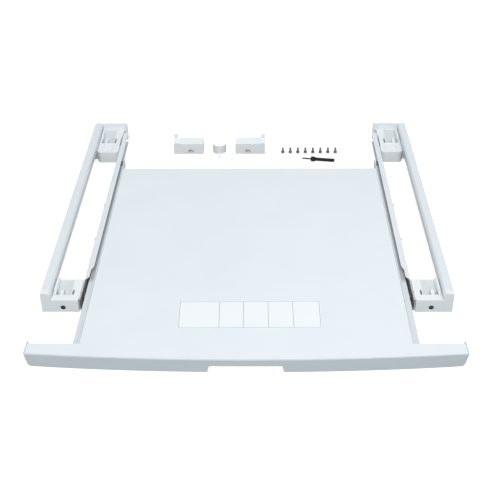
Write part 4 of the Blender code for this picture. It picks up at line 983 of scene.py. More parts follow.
def block_top(x, y, outline, seat, edge, rim):
    """Height of a moulded block: its top falls round at the outline, and the seat and its slots change it.

    The seat's ramp rises as a power of the depth from its deep front end to its shallow rear end, and a web
    stands between its deep end and the pocket. Rims fall by edge_fall of the distance to each recess.
    """
    height = BLOCK_HEIGHT - edge_fall(-away_from(x, y, *outline), edge)
    start, reach = slot_span(seat)
    for span in (SLOT, POCKET):
        distance = away_from(x, y, span, (start, reach))
        height = height - np.where(distance >= 0, edge_fall(distance, rim), 0)
    to_seat = away_from(x, y, (SEAT_INNER, SEAT_OUTER), seat)
    share = np.clip((y - start) / (seat[1] - start), 0, 1)
    ramp = BLOCK_HEIGHT - SEAT_SINK + (SEAT_SINK - SEAT_RISE) * share**RAMP_CURVE
    floor = ramp + edge_fall(-to_seat, rim)
    height = np.where(to_seat < 0, np.minimum(height, floor), height - edge_fall(to_seat, rim))
    to_web = away_from(x, y, (WEB_START, POCKET[0]), (start - TINY / 2, reach))
    return np.where(to_web < 0, BLOCK_HEIGHT - WEB_DROP - edge_fall(-to_web, rim), height)


def in_seat_shade(points, normals, seat):
    """Which faces of a block get painted shade: those of the seat's ramp that look up, clear of its rims."""
    x, y = np.abs(points[:, 0]), points[:, 1] - FRONT_FACE
    inside = (away_from(x, y, (SEAT_INNER, SEAT_OUTER), seat) < -TINY) & (normals[:, 2] > 0.5)
    return inside & (away_from(x, y, (WEB_START, SEAT_OUTER), slot_span(seat)) > 0)


def in_hole_shade(points, normals):
    """Which faces of the front block get painted shade: those deep in the screw hole."""
    reach = np.hypot(np.abs(points[:, 0]) - SCREW_HOLE[0], points[:, 2] - SCREW_HOLE[1])
    depth = points[:, 1] - FRONT_FACE
    deep = (depth > SCREW_HOLE_SINK * 2) & (depth < SCREW_HOLE_DEPTH + TINY)
    return deep & (reach < SCREW_HOLE_RADIUS + TINY)


def with_rib(height, x, y, span_y, rim):
    """Adds the small upright rib and the seam between it and the rail."""
    to_rib = away_from(x, y, RIB, span_y)
    height = np.where(to_rib < 0, RIB_TOP - edge_fall(-to_rib, rim), height)
    seam = (x > RIB[1]) & (x < BLOCK_OUTER + GAP) & (y > span_y[0]) & (y < span_y[1])
    return np.where(seam, SEAM_FLOOR, height)


def hollowed(top_of, x, y, outline, bosses, wall=BLOCK_WALL):
    """Height of the underside: the lowest top within a wall's reach, less a wall.

    It is nought under the outline's walls and under the bosses.
    """
    reach = wall * WALL_REACH_SHARE
    steps = (-reach, 0, reach)
    lowest = np.min([top_of(x + dx, y + dy) for dx in steps for dy in steps], axis=0)
    hollow = away_from(x, y, *outline) <= -wall
    hollow = without(hollow, x, y, bosses)
    return np.where(hollow, np.maximum(lowest - wall, 0), 0)


def front_block(sizes):
    """Front foot block over one grid: block, cap with the rail's section, and the tongue under the rail."""
    edge, rim = sizes.moulding_edge, sizes.recess_edge
    slots = slot_span(FRONT_SEAT)
    outline = ((BLOCK_INNER, BLOCK_OUTER), (0, FRONT_BLOCK_LENGTH))
    bevel_end = FRAME_HALF_WIDTH - RAIL_TOP_WIDTH
    soft_x = [
        BLOCK_INNER, *SLOT, SEAT_INNER, WEB_START, *POCKET, SEAT_OUTER, *RIB, RAIL_INNER, FRAME_HALF_WIDTH
    ]
    boss_x = (SCREW_HOLE[0] - FRONT_BOSS / 2, SCREW_HOLE[0] + FRONT_BOSS / 2)
    plain_x = [
        BLOCK_INNER + SEAM_WIDTH, BLOCK_INNER + BLOCK_WALL, BLOCK_OUTER - BLOCK_WALL, BLOCK_OUTER,
        bevel_end, TONGUE_OUTER, BLOCK_INNER + BOSS, *boss_x,
        SCREW_HOLE[0] - PUNCH_HALF_WIDTH, SCREW_HOLE[0] + PUNCH_HALF_WIDTH,
    ]
    soft_y = [0, *slots, FRONT_SEAT[1], FRONT_RIB_START, FRONT_BLOCK_LENGTH]
    plain_y = [
        CORNER_SEAM_END, CAP_LENGTH, FRONT_TONGUE_END, BLOCK_WALL, FRONT_BLOCK_LENGTH - BLOCK_WALL, *BOSS_SPAN
    ]
    xs = rim_lines(soft_x, plain_x, edge, BLOCK_INNER, FRAME_HALF_WIDTH)
    outer_round = FRAME_HALF_WIDTH - RAIL_ROUND * (1 - np.sin(np.linspace(0, math.pi / 2, 6)))
    xs = merged(xs, outer_round)
    ys = rim_lines(soft_y, plain_y, edge, 0, FRONT_BLOCK_LENGTH)
    x, y = np.meshgrid(xs, ys, indexing="ij")

    def top_of(px, py):
        open_side = np.where(py < CAP_LENGTH + TINY, BLOCK_OUTER + edge * 4, BLOCK_OUTER)
        height = block_top(px, py, ((BLOCK_INNER, open_side), outline[1]), FRONT_SEAT, edge, rim)
        return with_rib(height, px, py, (FRONT_RIB_START, FRONT_BLOCK_LENGTH + edge), rim)

    top = top_of(x, y)
    bevel = RAIL_HEIGHT - np.clip(bevel_end - x, 0, RAIL_BEVEL)
    crown = bevel - edge_fall(FRAME_HALF_WIDTH - x, RAIL_ROUND) - edge_fall(y, edge)
    top = np.where((x > RAIL_INNER - TINY / 2) & (y < CAP_LENGTH + TINY / 2), crown, top)
    on_tongue = (x > BLOCK_OUTER - TINY / 2) & (y > CAP_LENGTH + TINY / 2)
    top = np.where(on_tongue, TONGUE_TOP, top)
    bosses = [(boss_x, (0, FRONT_SEAT[0])), ((BLOCK_INNER, BLOCK_INNER + BOSS), BOSS_SPAN)]
    bottom = hollowed(top_of, x, y, outline, bosses)
    bottom = np.where((x > BLOCK_OUTER - BLOCK_WALL) & (y < CAP_LENGTH + TINY / 2), 0, bottom)
    bottom = np.where(on_tongue, TONGUE_FOOT, np.minimum(bottom, top - BLOCK_WALL / 2))
    cx, cy = cell_middles(x, y)
    solid = (cx < BLOCK_OUTER) | (cy < CAP_LENGTH) | ((cx < TONGUE_OUTER) & (cy < FRONT_TONGUE_END))
    corner_seam = ((0, BLOCK_INNER + SEAM_WIDTH), (-1, CORNER_SEAM_END))
    solid = without(solid, cx, cy, [(SLOT, slots), (POCKET, slots), corner_seam])
    skip = np.abs((xs[:-1] + xs[1:]) / 2 - SCREW_HOLE[0]) < PUNCH_HALF_WIDTH
    body = slab(x, y, top, bottom, solid, skip)
    soft = SCREW_HOLE_SINK / 3
    rim_width = SCREW_HOLE_RIM - SCREW_HOLE_RADIUS
    rings = [
        (rim_width + soft, 0), (rim_width + soft / 4, soft / 4), (rim_width, soft),
        (rim_width, SCREW_HOLE_SINK), (soft / 2, SCREW_HOLE_SINK), (0, SCREW_HOLE_SINK + soft / 2),
        (0, SCREW_HOLE_DEPTH),
    ]
    panel = punched_panel(
        SCREW_HOLE, PUNCH_HALF_WIDTH, BLOCK_HEIGHT - edge, lambda cos, sin: SCREW_HOLE_RADIUS + 0 * cos, rings
    )
    return joined(body, panel)


def punched_panel(middle, half, top, hole_reach, rings, extra_turns=(), steps=56):
    """A wall panel with a hole.

    Each ray leaves the hole's middle and meets the panel's edge, then comes back to the hole's outline, grown
    by each ring's margin and sunk by its depth, and ends on the hole's floor.
    """
    corners = [math.atan2(h - middle[1], side * half) for h in (0, top) for side in (-1, 1)]
    turn = np.unique(np.round(np.concatenate([
        np.linspace(-math.pi, math.pi, steps, endpoint=False), corners, extra_turns,
    ]), 9))
    cos, sin = np.cos(turn), np.sin(turn)
    across = half / np.maximum(np.abs(cos), LEAST_COSINE)
    up = np.where(sin > 0, top - middle[1], middle[1]) / np.maximum(np.abs(sin), LEAST_COSINE)
    hole = hole_reach(cos, sin)
    reaches = [np.minimum(across, up)] + [hole + margin for margin, _ in rings] + [hole * TINY]
    depths = [0] + [depth for _, depth in rings] + [rings[-1][1]]
    points = [
        np.stack([middle[0] + r * cos, np.full_like(cos, depth), middle[1] + r * sin], 1)
        for r, depth in zip(reaches, depths)
    ]
    return ringed(points)


def arch_reach(cos, sin):
    """Reach of the arched hole from its middle: half a circle above, and a rectangle below."""
    side = ARCH_HALF_WIDTH / np.maximum(np.abs(cos), LEAST_COSINE)
    foot = ARCH_RISE / np.maximum(np.abs(sin), LEAST_COSINE)
    return np.where(sin < 0, np.minimum(side, foot), ARCH_HALF_WIDTH)


def rear_block(sizes):
    """Rear foot block over one grid, bent in plan: round nose corners, and a fillet before the back wall."""
    edge, rim = sizes.moulding_edge, sizes.recess_edge
    slots = slot_span(REAR_SEAT)
    end = BACK_WALL_START + BLOCK_WALL / 4
    outline = ((BLOCK_INNER, BLOCK_OUTER), (REAR_START, end + edge * 4))
    spacing = (DECK[1] - DECK[0]) / 4
    ribs = [DECK[0] + spacing, DECK[0] + spacing * 2]
    rib_edges = [place + side * DECK_RIB_HALF for place in ribs for side in (-1, 1)]
    soft_x = [BLOCK_INNER, *SLOT, SEAT_INNER, WEB_START, DECK_OUTER, *POCKET, SEAT_OUTER, *RIB, BLOCK_OUTER]
    plain_x = [
        BLOCK_INNER + SEAM_WIDTH, BLOCK_INNER + BLOCK_WALL, BLOCK_OUTER - BLOCK_WALL, TONGUE_OUTER,
        BLOCK_OUTER - RIB_HOLE, BLOCK_INNER + BOSS,
        *np.linspace(BLOCK_INNER, BLOCK_INNER + NOSE_ROUND, 9),
        *np.linspace(BLOCK_OUTER - NOSE_ROUND, BLOCK_OUTER, 9),
    ]
    soft_y = [REAR_START, DECK[0], *rib_edges, DECK[1], *slots, REAR_SEAT[1], REAR_RIB_START]
    plain_y = [
        *REAR_SEAM, REAR_START + BLOCK_WALL, BACK_WALL_START - RIB_HOLE, *REAR_BOSS_SPAN, end,
        *np.linspace(REAR_START, REAR_START + NOSE_ROUND, 9),
        *np.linspace(BACK_WALL_START - BACK_FILLET, BACK_WALL_START, 9),
    ]
    xs = rim_lines(soft_x, plain_x, edge, BLOCK_INNER, TONGUE_OUTER)
    ys = rim_lines(soft_y, plain_y, edge, REAR_START, end)
    x, y = np.meshgrid(xs, ys, indexing="ij")
    hole_x = (BLOCK_OUTER - RIB_HOLE, BLOCK_OUTER + GAP)

    def top_of(px, py):
        height = block_top(px, py, outline, REAR_SEAT, edge, rim)
        to_deck = away_from(px, py, (SEAT_INNER, DECK_OUTER), DECK)
        sunk = BLOCK_HEIGHT - DECK_SINK + edge_fall(-to_deck, rim)
        for place in ribs:
            across = np.abs(py - place)
            raised = sunk + DECK_SINK / 2 - edge_fall(DECK_RIB_HALF - across, rim)
            sunk = np.where(across < DECK_RIB_HALF, raised, sunk)
        height = np.where(to_deck < 0, np.minimum(height, sunk), height - edge_fall(to_deck, rim))
        height = with_rib(height, px, py, (REAR_RIB_START, BACK_WALL_START + edge), rim)
        hole = away_from(px, py, hole_x, (BACK_WALL_START - RIB_HOLE, BACK_WALL_START))
        return np.where(hole < 0, SEAM_FLOOR, height)

    top = top_of(x, y)
    on_tongue = x > BLOCK_OUTER + TINY / 2
    top = np.where(on_tongue, TONGUE_TOP, top)
    wide = ((BLOCK_INNER, BLOCK_OUTER), (REAR_START, FRAME_DEPTH))
    bottom = hollowed(top_of, x, y, wide, [((BLOCK_INNER, BLOCK_INNER + BOSS), REAR_BOSS_SPAN)])
    bottom = np.where((y > REAR_SEAT[1]) | (y < REAR_START + NOSE_ROUND), 0, bottom)
    bottom = np.where(on_tongue, TONGUE_FOOT, np.minimum(bottom, top - BLOCK_WALL / 2))
    cx, cy = cell_middles(x, y)
    solid = (cx < BLOCK_OUTER) | (cy > REAR_START + NOSE_ROUND)
    inner_seam = ((0, BLOCK_INNER + SEAM_WIDTH), REAR_SEAM)
    solid = without(solid, cx, cy, [(SLOT, slots), (POCKET, slots), inner_seam])
    wall = rounded_prism(
        rounded_path(
            [
                ((BACK_WALL_INNER + FRAME_HALF_WIDTH) / 2, 0),
                (BACK_WALL_INNER, 0),
                (BACK_WALL_INNER, RAIL_HEIGHT),
                (FRAME_HALF_WIDTH, RAIL_HEIGHT),
                (FRAME_HALF_WIDTH, 0),
                ((BACK_WALL_INNER + FRAME_HALF_WIDTH) / 2 + GAP, 0),
            ],
            (edge, RAIL_ROUND, RAIL_ROUND, edge),
        ),
        (BACK_WALL_START, FRAME_DEPTH),
        "front",
        edge,
    )
    return joined(slab(*nose_bend(x, y), top, bottom, solid), wall)


def nose_bend(x, y):
    """Plan of the rear block.

    A square corner becomes a round one when a point's offset (u, v) from the round's centre is scaled by the
    larger of the two over their length. The fillet shifts the inner side by its circle.
    """
    out_x, out_y = x.copy(), y.copy()
    for middle, side in ((BLOCK_INNER + NOSE_ROUND, -1), (BLOCK_OUTER - NOSE_ROUND, 1)):
        u = np.clip((x - middle) * side, 0, NOSE_ROUND)
        v = np.clip(REAR_START + NOSE_ROUND - y, 0, NOSE_ROUND)
        away = np.hypot(u, v)
        scale = np.where(away > 0, np.maximum(u, v) / np.maximum(away, LEAST_LENGTH), 1)
        corner = (u > 0) & (v > 0) & (x <= BLOCK_OUTER + TINY / 2)
        out_x = np.where(corner, middle + side * u * scale, out_x)
        out_y = np.where(corner, REAR_START + NOSE_ROUND - v * scale, out_y)
    rise = np.clip(y - (BACK_WALL_START - BACK_FILLET), 0, BACK_FILLET)
    shift = BACK_FILLET - np.sqrt(np.maximum(BACK_FILLET**2 - rise**2, 0))
    near = np.clip((SLOT[0] - x) / (SLOT[0] - BLOCK_INNER), 0, 1)
    return out_x - shift * near, out_y


# Runners and rollers

def frame_runner(sizes):
    """Channel whose top flange is none at the front and grows by two slanted steps to its full width."""
    edge = sizes.sheet_edge
    start, end = RUNNER_ENDS
    depths = np.array([start, start + edge, ENTRY_PLACES[0] - TINY, *ENTRY_PLACES, end - edge, end])
    depths = np.sort(np.concatenate([depths, np.linspace(ENTRY_PLACES[3] + 0.02, end - 0.02, 12)]))
    flange = np.interp(
        depths,
        (ENTRY_PLACES[0] - TINY, ENTRY_PLACES[0], *ENTRY_PLACES[1:]),
        (RUNNER_WEB, RUNNER_WEB - GAP, ENTRY_STEP_EDGE, ENTRY_STEP_EDGE, RUNNER_TOP_EDGE),
    )
    loops = []
    for depth, top_edge in zip(depths, flange):
        path = rounded_path(
            [
                (RUNNER_FOOT_EDGE, RUNNER_FOOT),
                (RUNNER_OUTER, RUNNER_FOOT),
                (RUNNER_OUTER, RUNNER_TOP),
                (min(top_edge, RUNNER_WEB - TINY), RUNNER_TOP),
            ],
            (RUNNER_FOLD, SHEET),
        )
        outline = folded_outline(path, SHEET)
        trim = edge if depth in (start, end) else 0
        loops.append(placed(outline + bisectors(outline, True) * trim, at(depth), "front"))
    channel = lofted(loops)
    lugs = []
    for share in LUG_PLACE_SHARES:
        place = at(FRAME_DEPTH * share)
        low = (RUNNER_WEB + SHEET / 2, place - LUG_SIZE[1] / 2, RUNNER_TOP - SHEET / 2 - LUG_SIZE[2])
        high = (RUNNER_OUTER + LUG_SIZE[0], place + LUG_SIZE[1] / 2, RUNNER_TOP - SHEET / 2)
        lugs.append(soft_box(low, high, LUG_SIZE[0] / 5))
    return joined(channel, *lugs)


def in_channel(points, normals):
    """Which faces of the frame runner get painted shade: those between its two flanges."""
    from_middle = np.abs(points[:, 2] - (RUNNER_FOOT + RUNNER_TOP) / 2)
    between = from_middle < (RUNNER_TOP - RUNNER_FOOT) / 2 - CHANNEL_MARGIN
    return between & (np.abs(points[:, 0]) < RUNNER_WEB + TINY)


def on_track(points, normals):
    """Which faces of the drawer runner get painted shade: the top of the flange."""
    height = points[:, 2] - DRAWER_FLANGE_FOOT
    return (normals[:, 2] > 0.5) & (height > 0) & (height < TRACK_REACH)


def drawer_runner(sizes):
    """Angle on the tray's side: a web with a round tail, and a flange with a fold radius at its root."""
    edge = sizes.sheet_edge
    front, end = at(DRAWER_ENDS[0]), at(DRAWER_ENDS[1])
    foot, top = DRAWER_LOW.z, DRAWER_HIGH.z
    middle = (foot + top) / 2
    web = rounded_prism(
        rounded_path(
            [(front, middle), (front, foot), (end, foot), (end, top), (front, top), (front, middle + GAP)],
            (edge, TAIL_ROUND, TAIL_ROUND, edge),
            10,
        ),
        (DRAWER_WEB, DRAWER_FACE),
        "side",
        edge,
    )
    flange_end = at(DRAWER_FLANGE_END)
    flange = rounded_prism(
        rounded_path(
            [
                (DRAWER_WEB + edge, front + GAP),
                (DRAWER_FLANGE_EDGE, front + GAP),
                (DRAWER_FLANGE_EDGE, flange_end),
                (DRAWER_WEB + edge, flange_end),
            ],
            (edge, TAIL_ROUND / 3),
        ),
        (DRAWER_FLANGE_FOOT, DRAWER_FLANGE_FOOT + SHEET),
        "plan",
        edge,
    )
    centre = (DRAWER_FACE + DRAWER_ROOT, DRAWER_FLANGE_FOOT + SHEET + DRAWER_ROOT)
    corner = (DRAWER_FACE - edge, centre[1] - DRAWER_ROOT - edge)
    fillet = [*arc_points(centre, DRAWER_ROOT, 180, 270, 5), corner]
    fold = rounded_prism(fillet, (front + edge * 2, flange_end - edge * 2), "front", edge / 4)
    return joined(web, flange, fold)


def roller(node_name):
    """Roller turned about its axis: tread with round shoulders, sunk hub face, raised ring and bore."""
    low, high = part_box(node_name)
    half, radius = (high.x - low.x) / 2, (high.z - low.z) / 2
    hub = ROLLER_BORE + (radius - ROLLER_BORE) * ROLLER_HUB_SHARE
    ring = ROLLER_BORE + (radius - ROLLER_BORE) * ROLLER_RING_SHARE
    shoulder = (radius - ROLLER_SHOULDER, half - ROLLER_SHOULDER)
    upper = np.vstack([
        (ROLLER_BORE, half - ROLLER_SINK / 3),
        (ROLLER_BORE + ROLLER_SINK / 5, half - ROLLER_SINK / 6),
        (ring - ROLLER_SINK / 5, half - ROLLER_SINK / 6),
        (ring, half - ROLLER_SINK / 2),
        (ring, half - ROLLER_SINK),
        (hub, half - ROLLER_SINK),
        (hub, half - ROLLER_SINK / 4),
        (hub + ROLLER_SINK / 4, half),
        *arc_points(shoulder, ROLLER_SHOULDER, 90, 0, 4),
        (radius, half / 3),
        (radius, 0),
    ])
    lower = (upper * np.array([1, -1]))[::-1][1:]
    turn = Matrix.Rotation(math.pi / 2, 4, "Y")
    return moved(lathed(np.vstack([upper, lower]), 56, True), (low + high) / 2, turn)


def on_tread(points, node_name):
    """Which faces of a roller get painted shade: those nearly as far from its axis as its rim."""
    low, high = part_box(node_name)
    middle = (low + high) / 2
    return np.hypot(points[:, 1] - middle.y, points[:, 2] - middle.z) > (high.z - low.z) / 2 * TREAD_SHARE


def on_rivet(points, normals):
    """Which faces of a rear pin are its hollow rivet: those on the tray's side of the drawer runner's web."""
    return np.abs(points[:, 0]) < DRAWER_WEB


def roller_pin(node_name):
    """Riveted pin turned about X: plain shank, and a domed head on the side where the CAD pin has its head.

    A rear pin has a hollow rivet ring on the drawer runner's inner face.
    """
    low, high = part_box(node_name)
    middle = (low + high) / 2
    reach, head_radius = high.x - low.x, (high.z - low.z) / 2
    dome = arc_points((0, reach - PIN_DOME), head_radius, 0, 90, 6)
    dome[:, 1] = reach - PIN_DOME + (dome[:, 1] - (reach - PIN_DOME)) * PIN_DOME / head_radius
    foot = [(0, 0), (PIN_SHANK - GAP / 2, 0), (PIN_SHANK, GAP / 2)]
    if "rear" in node_name:
        foot = [
            (0, RIVET_THICK * 2), (RIVET_BORE, RIVET_THICK * 2), (RIVET_BORE, -RIVET_THICK / 2),
            (RIVET_BORE + RIVET_THICK / 2, -RIVET_THICK), (RIVET_RADIUS - RIVET_THICK / 2, -RIVET_THICK),
            (RIVET_RADIUS, -RIVET_THICK / 2), (RIVET_RADIUS, 0), (PIN_SHANK, 0),
        ]
    profile = [*foot, (PIN_SHANK, reach - PIN_HEAD), (head_radius, reach - PIN_HEAD), *dome]
    outward = 1 if ("rear" in node_name) == ("right" in node_name) else -1
    turn = Matrix.Rotation(outward * math.pi / 2, 4, "Y")
    start = low.x if outward > 0 else high.x
    return moved(lathed(profile, 32), (start, middle.y, middle.z), turn)


# Tray

def bow_depth(x):
    """How far the bowed front falls back at x: a circle through the middle and both ends."""
    radius = (FASCIA_HALF_WIDTH**2 + FASCIA_BOW**2) / (2 * FASCIA_BOW)
    return radius - np.sqrt(radius**2 - x**2)


def tray_panel(sizes):
    """Pan with drawn edges: a fold section carried round three sides of the plan, and flat sheets within.

    The section runs from the flat, through the fold's quarter circle, to the flange's foot and back inside.
    Its foot rises from the side's to the rear's height round each corner.
    """
    edge = sizes.sheet_edge
    half, rear, front = TRAY_HALF_WIDTH, TRAY_REAR, LEDGE_BACK
    corners = [(half, front), (half, rear), (-half, rear), (-half, front)]
    path = rounded_path(corners, [TRAY_CORNER_ROUND] * 2, 8)
    way = bisectors(path, False)
    at_rear = np.clip((path[:, 1] - (rear - TRAY_CORNER_ROUND)) / TRAY_CORNER_ROUND, 0, 1)
    foot = TRAY_SIDE_FOOT + (TRAY_REAR_FOOT - TRAY_SIDE_FOOT) * at_rear
    fold = arc_points((TRAY_EDGE_ROUND, TRAY_TOP - TRAY_EDGE_ROUND), TRAY_EDGE_ROUND, 90, 180, 7)
    inner = TRAY_EDGE_ROUND - TRAY_SHEET
    back = arc_points((TRAY_EDGE_ROUND, TRAY_TOP - TRAY_EDGE_ROUND), inner, 180, 90, 7)
    flat = TRAY_EDGE_ROUND + TINY * 8
    section = [(flat, TRAY_TOP, 0), *[(d, z, 0) for d, z in fold], (0, edge, 1), (edge, 0, 1)]
    section += [(TRAY_SHEET - edge, 0, 1), (TRAY_SHEET, edge, 1), *[(d, z, 0) for d, z in back]]
    section += [(flat, TRAY_TOP - TRAY_SHEET, 0)]
    loops = []
    for inset, height, from_foot in section:
        z = foot + height if from_foot else np.full(len(path), height)
        loops.append(np.column_stack([path + way * inset, z]))
    x = np.linspace(-1, 1, 65) * (FASCIA_HALF_WIDTH - FASCIA_END_WALL - GAP)
    brow = np.column_stack([x, FASCIA_FRONT + FASCIA_RIM + GAP + bow_depth(x)])
    ends = [(half - flat, front), (x[-1], front)], [(x[0], front), (flat - half, front)]
    rim = np.vstack([ends[0], brow[::-1], ends[1]])
    trim = np.vstack([rim[:-1], (path + way * flat)[::-1][:-1]])
    lip = np.zeros(len(trim))
    lip[1:len(rim) - 1] = edge
    level = np.full(len(trim), TRAY_TOP)
    sheet = [
        np.column_stack([trim + bisectors(trim, True) * lip[:, None], level]),
        np.column_stack([trim, level - lip]),
        np.column_stack([trim, level - TRAY_SHEET]),
    ]
    count = len(trim)
    ring = np.arange(count)
    faces = [ring.tolist(), (ring + 2 * count)[::-1].tolist()]
    for start in (0, count):
        a = ring[:len(rim) - 1] + start
        faces += np.stack([a, a + 1, a + 1 + count, a + count], 1).tolist()
    panel = joined(ringed(np.stack(loops, 1)), (np.vstack(sheet), faces))
    return moved(panel, (0, FRONT_FACE, 0))


def fascia_half_width(z):
    """Half width at a height: a straight taper, and a quarter circle at the lower corner."""
    share = np.clip((z - FASCIA_FOOT) / (FASCIA_TOP - FASCIA_FOOT), 0, 1)
    straight = FASCIA_HALF_WIDTH - FASCIA_TAPER * (1 - share)
    near = np.clip(FASCIA_FOOT + FASCIA_CORNER - z, 0, FASCIA_CORNER)
    return straight - (FASCIA_CORNER - np.sqrt(np.maximum(FASCIA_CORNER**2 - near**2, 0)))


def fascia_skin(xs, walls, inset_front, inset_end, z):
    """One skin of the fascia over its plan path and height.

    The path runs along one end wall, round a small corner, along the bow and back. A point's x moves out or
    in with the half width at its height, most at the ends and not at all in the middle.
    """
    half = FASCIA_HALF_WIDTH - inset_end
    corner = max(FASCIA_PLAN_ROUND - min(inset_front, inset_end), GAP)
    end_y = FASCIA_FRONT + inset_front + bow_depth(half - corner)
    turn = np.linspace(0, math.pi / 2, 7)[1:-1]
    wall_y = end_y + corner + (FASCIA_BACK - end_y - corner) * walls
    right = np.vstack([
        np.column_stack([(half - corner) + corner * np.sin(turn), end_y + corner - corner * np.cos(turn)]),
        np.column_stack([np.full(len(walls), half), wall_y]),
    ])
    bow_x = np.clip(xs, corner - half, half - corner)
    bow = np.column_stack([bow_x, FASCIA_FRONT + inset_front + bow_depth(bow_x)])
    left = right[::-1] * np.array([-1, 1])
    path = np.vstack([left, bow, right])
    x, heights = path[:, :1], z[None, :]
    pull = (fascia_half_width(heights) - FASCIA_HALF_WIDTH) * np.clip(np.abs(x) / half, 0, 1) ** 6
    return np.stack([x + np.sign(x) * pull, path[:, 1:] + 0 * heights, heights + 0 * x], -1)


def fascia(sizes):
    """Front moulding: a bowed shell with a round rim and a finger notch, and a ledge, web and ribs behind."""
    edge = sizes.fascia_edge
    corner_x = NOTCH_HALF_WIDTH - NOTCH_DRAFT
    near = quarter(edge, 5)
    half_lines = merged(
        np.linspace(0, FASCIA_HALF_WIDTH - FASCIA_PLAN_ROUND, 40),
        np.linspace(corner_x - NOTCH_CORNER, corner_x, 6),
        corner_x + near,
        [corner_x + edge * PAST_RIM],
    )
    xs = np.concatenate([-half_lines[::-1][:-1], half_lines])
    walls = np.array([0.0, 0.3, 0.7, 1.0])
    z = merged(
        FASCIA_FOOT + near,
        FASCIA_TOP - near,
        NOTCH_TOP + near,
        np.linspace(NOTCH_TOP - NOTCH_CORNER, NOTCH_TOP, 6),
        FASCIA_FOOT + quarter(FASCIA_CORNER, 7),
        [FASCIA_FOOT + edge * PAST_RIM, FASCIA_TOP - edge * PAST_RIM, NOTCH_TOP + edge * PAST_RIM],
        [FASCIA_MIDDLE, LEDGE[1]],
    )
    outer = fascia_skin(xs, walls, 0, 0, z)
    inner = fascia_skin(xs, walls, FASCIA_WALL, FASCIA_END_WALL, z)
    rim = fascia_skin(xs, walls, FASCIA_RIM, FASCIA_END_WALL, z)
    inner = np.where(z[None, :, None] > LEDGE[1] - TINY / 2, rim, inner)
    path_x = outer[:, :, 0]
    side, gz = np.abs(path_x), z[None, :] + 0 * path_x
    on_front = outer[:, :, 1] < FASCIA_FRONT + FASCIA_BOW + FASCIA_PLAN_ROUND
    to_notch = away_from(side, gz, (-1, corner_x), (-1, NOTCH_TOP))
    to_rim = np.minimum(FASCIA_TOP - gz, gz - FASCIA_FOOT)
    to_rim = np.where(on_front, np.minimum(to_rim, np.maximum(to_notch, 0)), to_rim)
    fall = edge_fall(to_rim, edge)[..., None]
    depth = np.linalg.norm(inner - outer, axis=-1, keepdims=True)
    outer = outer + (inner - outer) / depth * fall
    u = np.clip(side - (corner_x - NOTCH_CORNER), 0, NOTCH_CORNER)
    v = np.clip(gz - (NOTCH_TOP - NOTCH_CORNER), 0, NOTCH_CORNER)
    scale = np.maximum(u, v) / np.maximum(np.hypot(u, v), LEAST_LENGTH)
    in_corner = (u > 0) & (v > 0) & (side <= corner_x + TINY) & (gz <= NOTCH_TOP + TINY) & on_front
    corner_z = NOTCH_TOP - NOTCH_CORNER
    draft = np.clip((corner_z - gz) / (corner_z - FASCIA_FOOT), 0, 1) * NOTCH_DRAFT
    beside = np.clip(1 - np.abs(side - corner_x) / NOTCH_BLEND, 0, 1)
    for skin in (outer, inner):
        bent_x = np.where(in_corner, corner_x - NOTCH_CORNER + u * scale, side)
        bent_x = bent_x + np.where(on_front & ~in_corner, draft * beside, 0)
        skin[..., 0] += np.sign(path_x) * (bent_x - side)
        skin[..., 2] = np.where(in_corner, corner_z + v * scale, skin[..., 2])
    cell_x, cell_z = cell_middles(side, gz)
    solid = ~((cell_x < corner_x) & (cell_z < NOTCH_TOP) & on_front[:-1, :-1])
    blocks = [shell(outer, inner, solid)]
    x = np.linspace(-1, 1, 49) * (FASCIA_HALF_WIDTH - FASCIA_END_WALL * 2 / 3)
    brow = FASCIA_FRONT + FASCIA_WALL * 2 / 3 + bow_depth(x)
    ledge = np.vstack([np.column_stack([x, brow]), [(x[-1], LEDGE_BACK), (x[0], LEDGE_BACK)]])
    blocks.append(rounded_prism(ledge, LEDGE, "plan", GAP / 2))
    web_half, web_front = TRAY_HALF_WIDTH - LEDGE_WEB_INSET, LEDGE_BACK - FASCIA_WALL
    web_foot, web_top = LEDGE[0] - LEDGE_WEB_HEIGHT, LEDGE[0] + GAP
    blocks.append(soft_box((-web_half, web_front, web_foot), (web_half, LEDGE_BACK, web_top), GAP))
    for share in RIB_PLACE_SHARES:
        wall = FASCIA_FRONT + FASCIA_BOW * share**2 + FASCIA_WALL / 2
        rib = [
            (wall, FASCIA_FOOT + FASCIA_CORNER),
            (wall + FASCIA_WALL, FASCIA_FOOT + FASCIA_CORNER),
            (LEDGE_BACK - FASCIA_WALL / 2, LEDGE[0] - FASCIA_WALL),
            (LEDGE_BACK - FASCIA_WALL / 2, web_top),
            (wall, web_top),
        ]
        for way in (-1, 1):
            place = way * share * FASCIA_HALF_WIDTH
            ends = (place - FASCIA_RIB / 2, place + FASCIA_RIB / 2)
            blocks.append(rounded_prism(rib, ends, "side", GAP / 2))
    return moved(joined(*blocks), (0, FRONT_FACE, 0))


def stiffener(node_name, sizes):
    """Hat section, or the front angle: a folded outline carried across the tray."""
    low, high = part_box(node_name)
    if node_name.endswith("front"):
        path = rounded_path([(low.y, low.z), (low.y, high.z), (high.y, high.z)], (STIFFENER_SHEET * 1.5,))
        path = path[::-1]
    else:
        brim = high.z - STIFFENER_SHEET
        path = rounded_path(
            [
                (low.y, brim),
                (low.y + STIFFENER_BRIM, brim),
                (low.y + STIFFENER_BRIM, low.z),
                (high.y - STIFFENER_BRIM, low.z),
                (high.y - STIFFENER_BRIM, brim),
                (high.y, brim),
            ],
            (STIFFENER_SHEET, STIFFENER_SHEET * 1.8, STIFFENER_SHEET * 1.8, STIFFENER_SHEET),
        )
    return rounded_prism(folded_outline(path, STIFFENER_SHEET), (low.x, high.x), "side", sizes.sheet_edge)


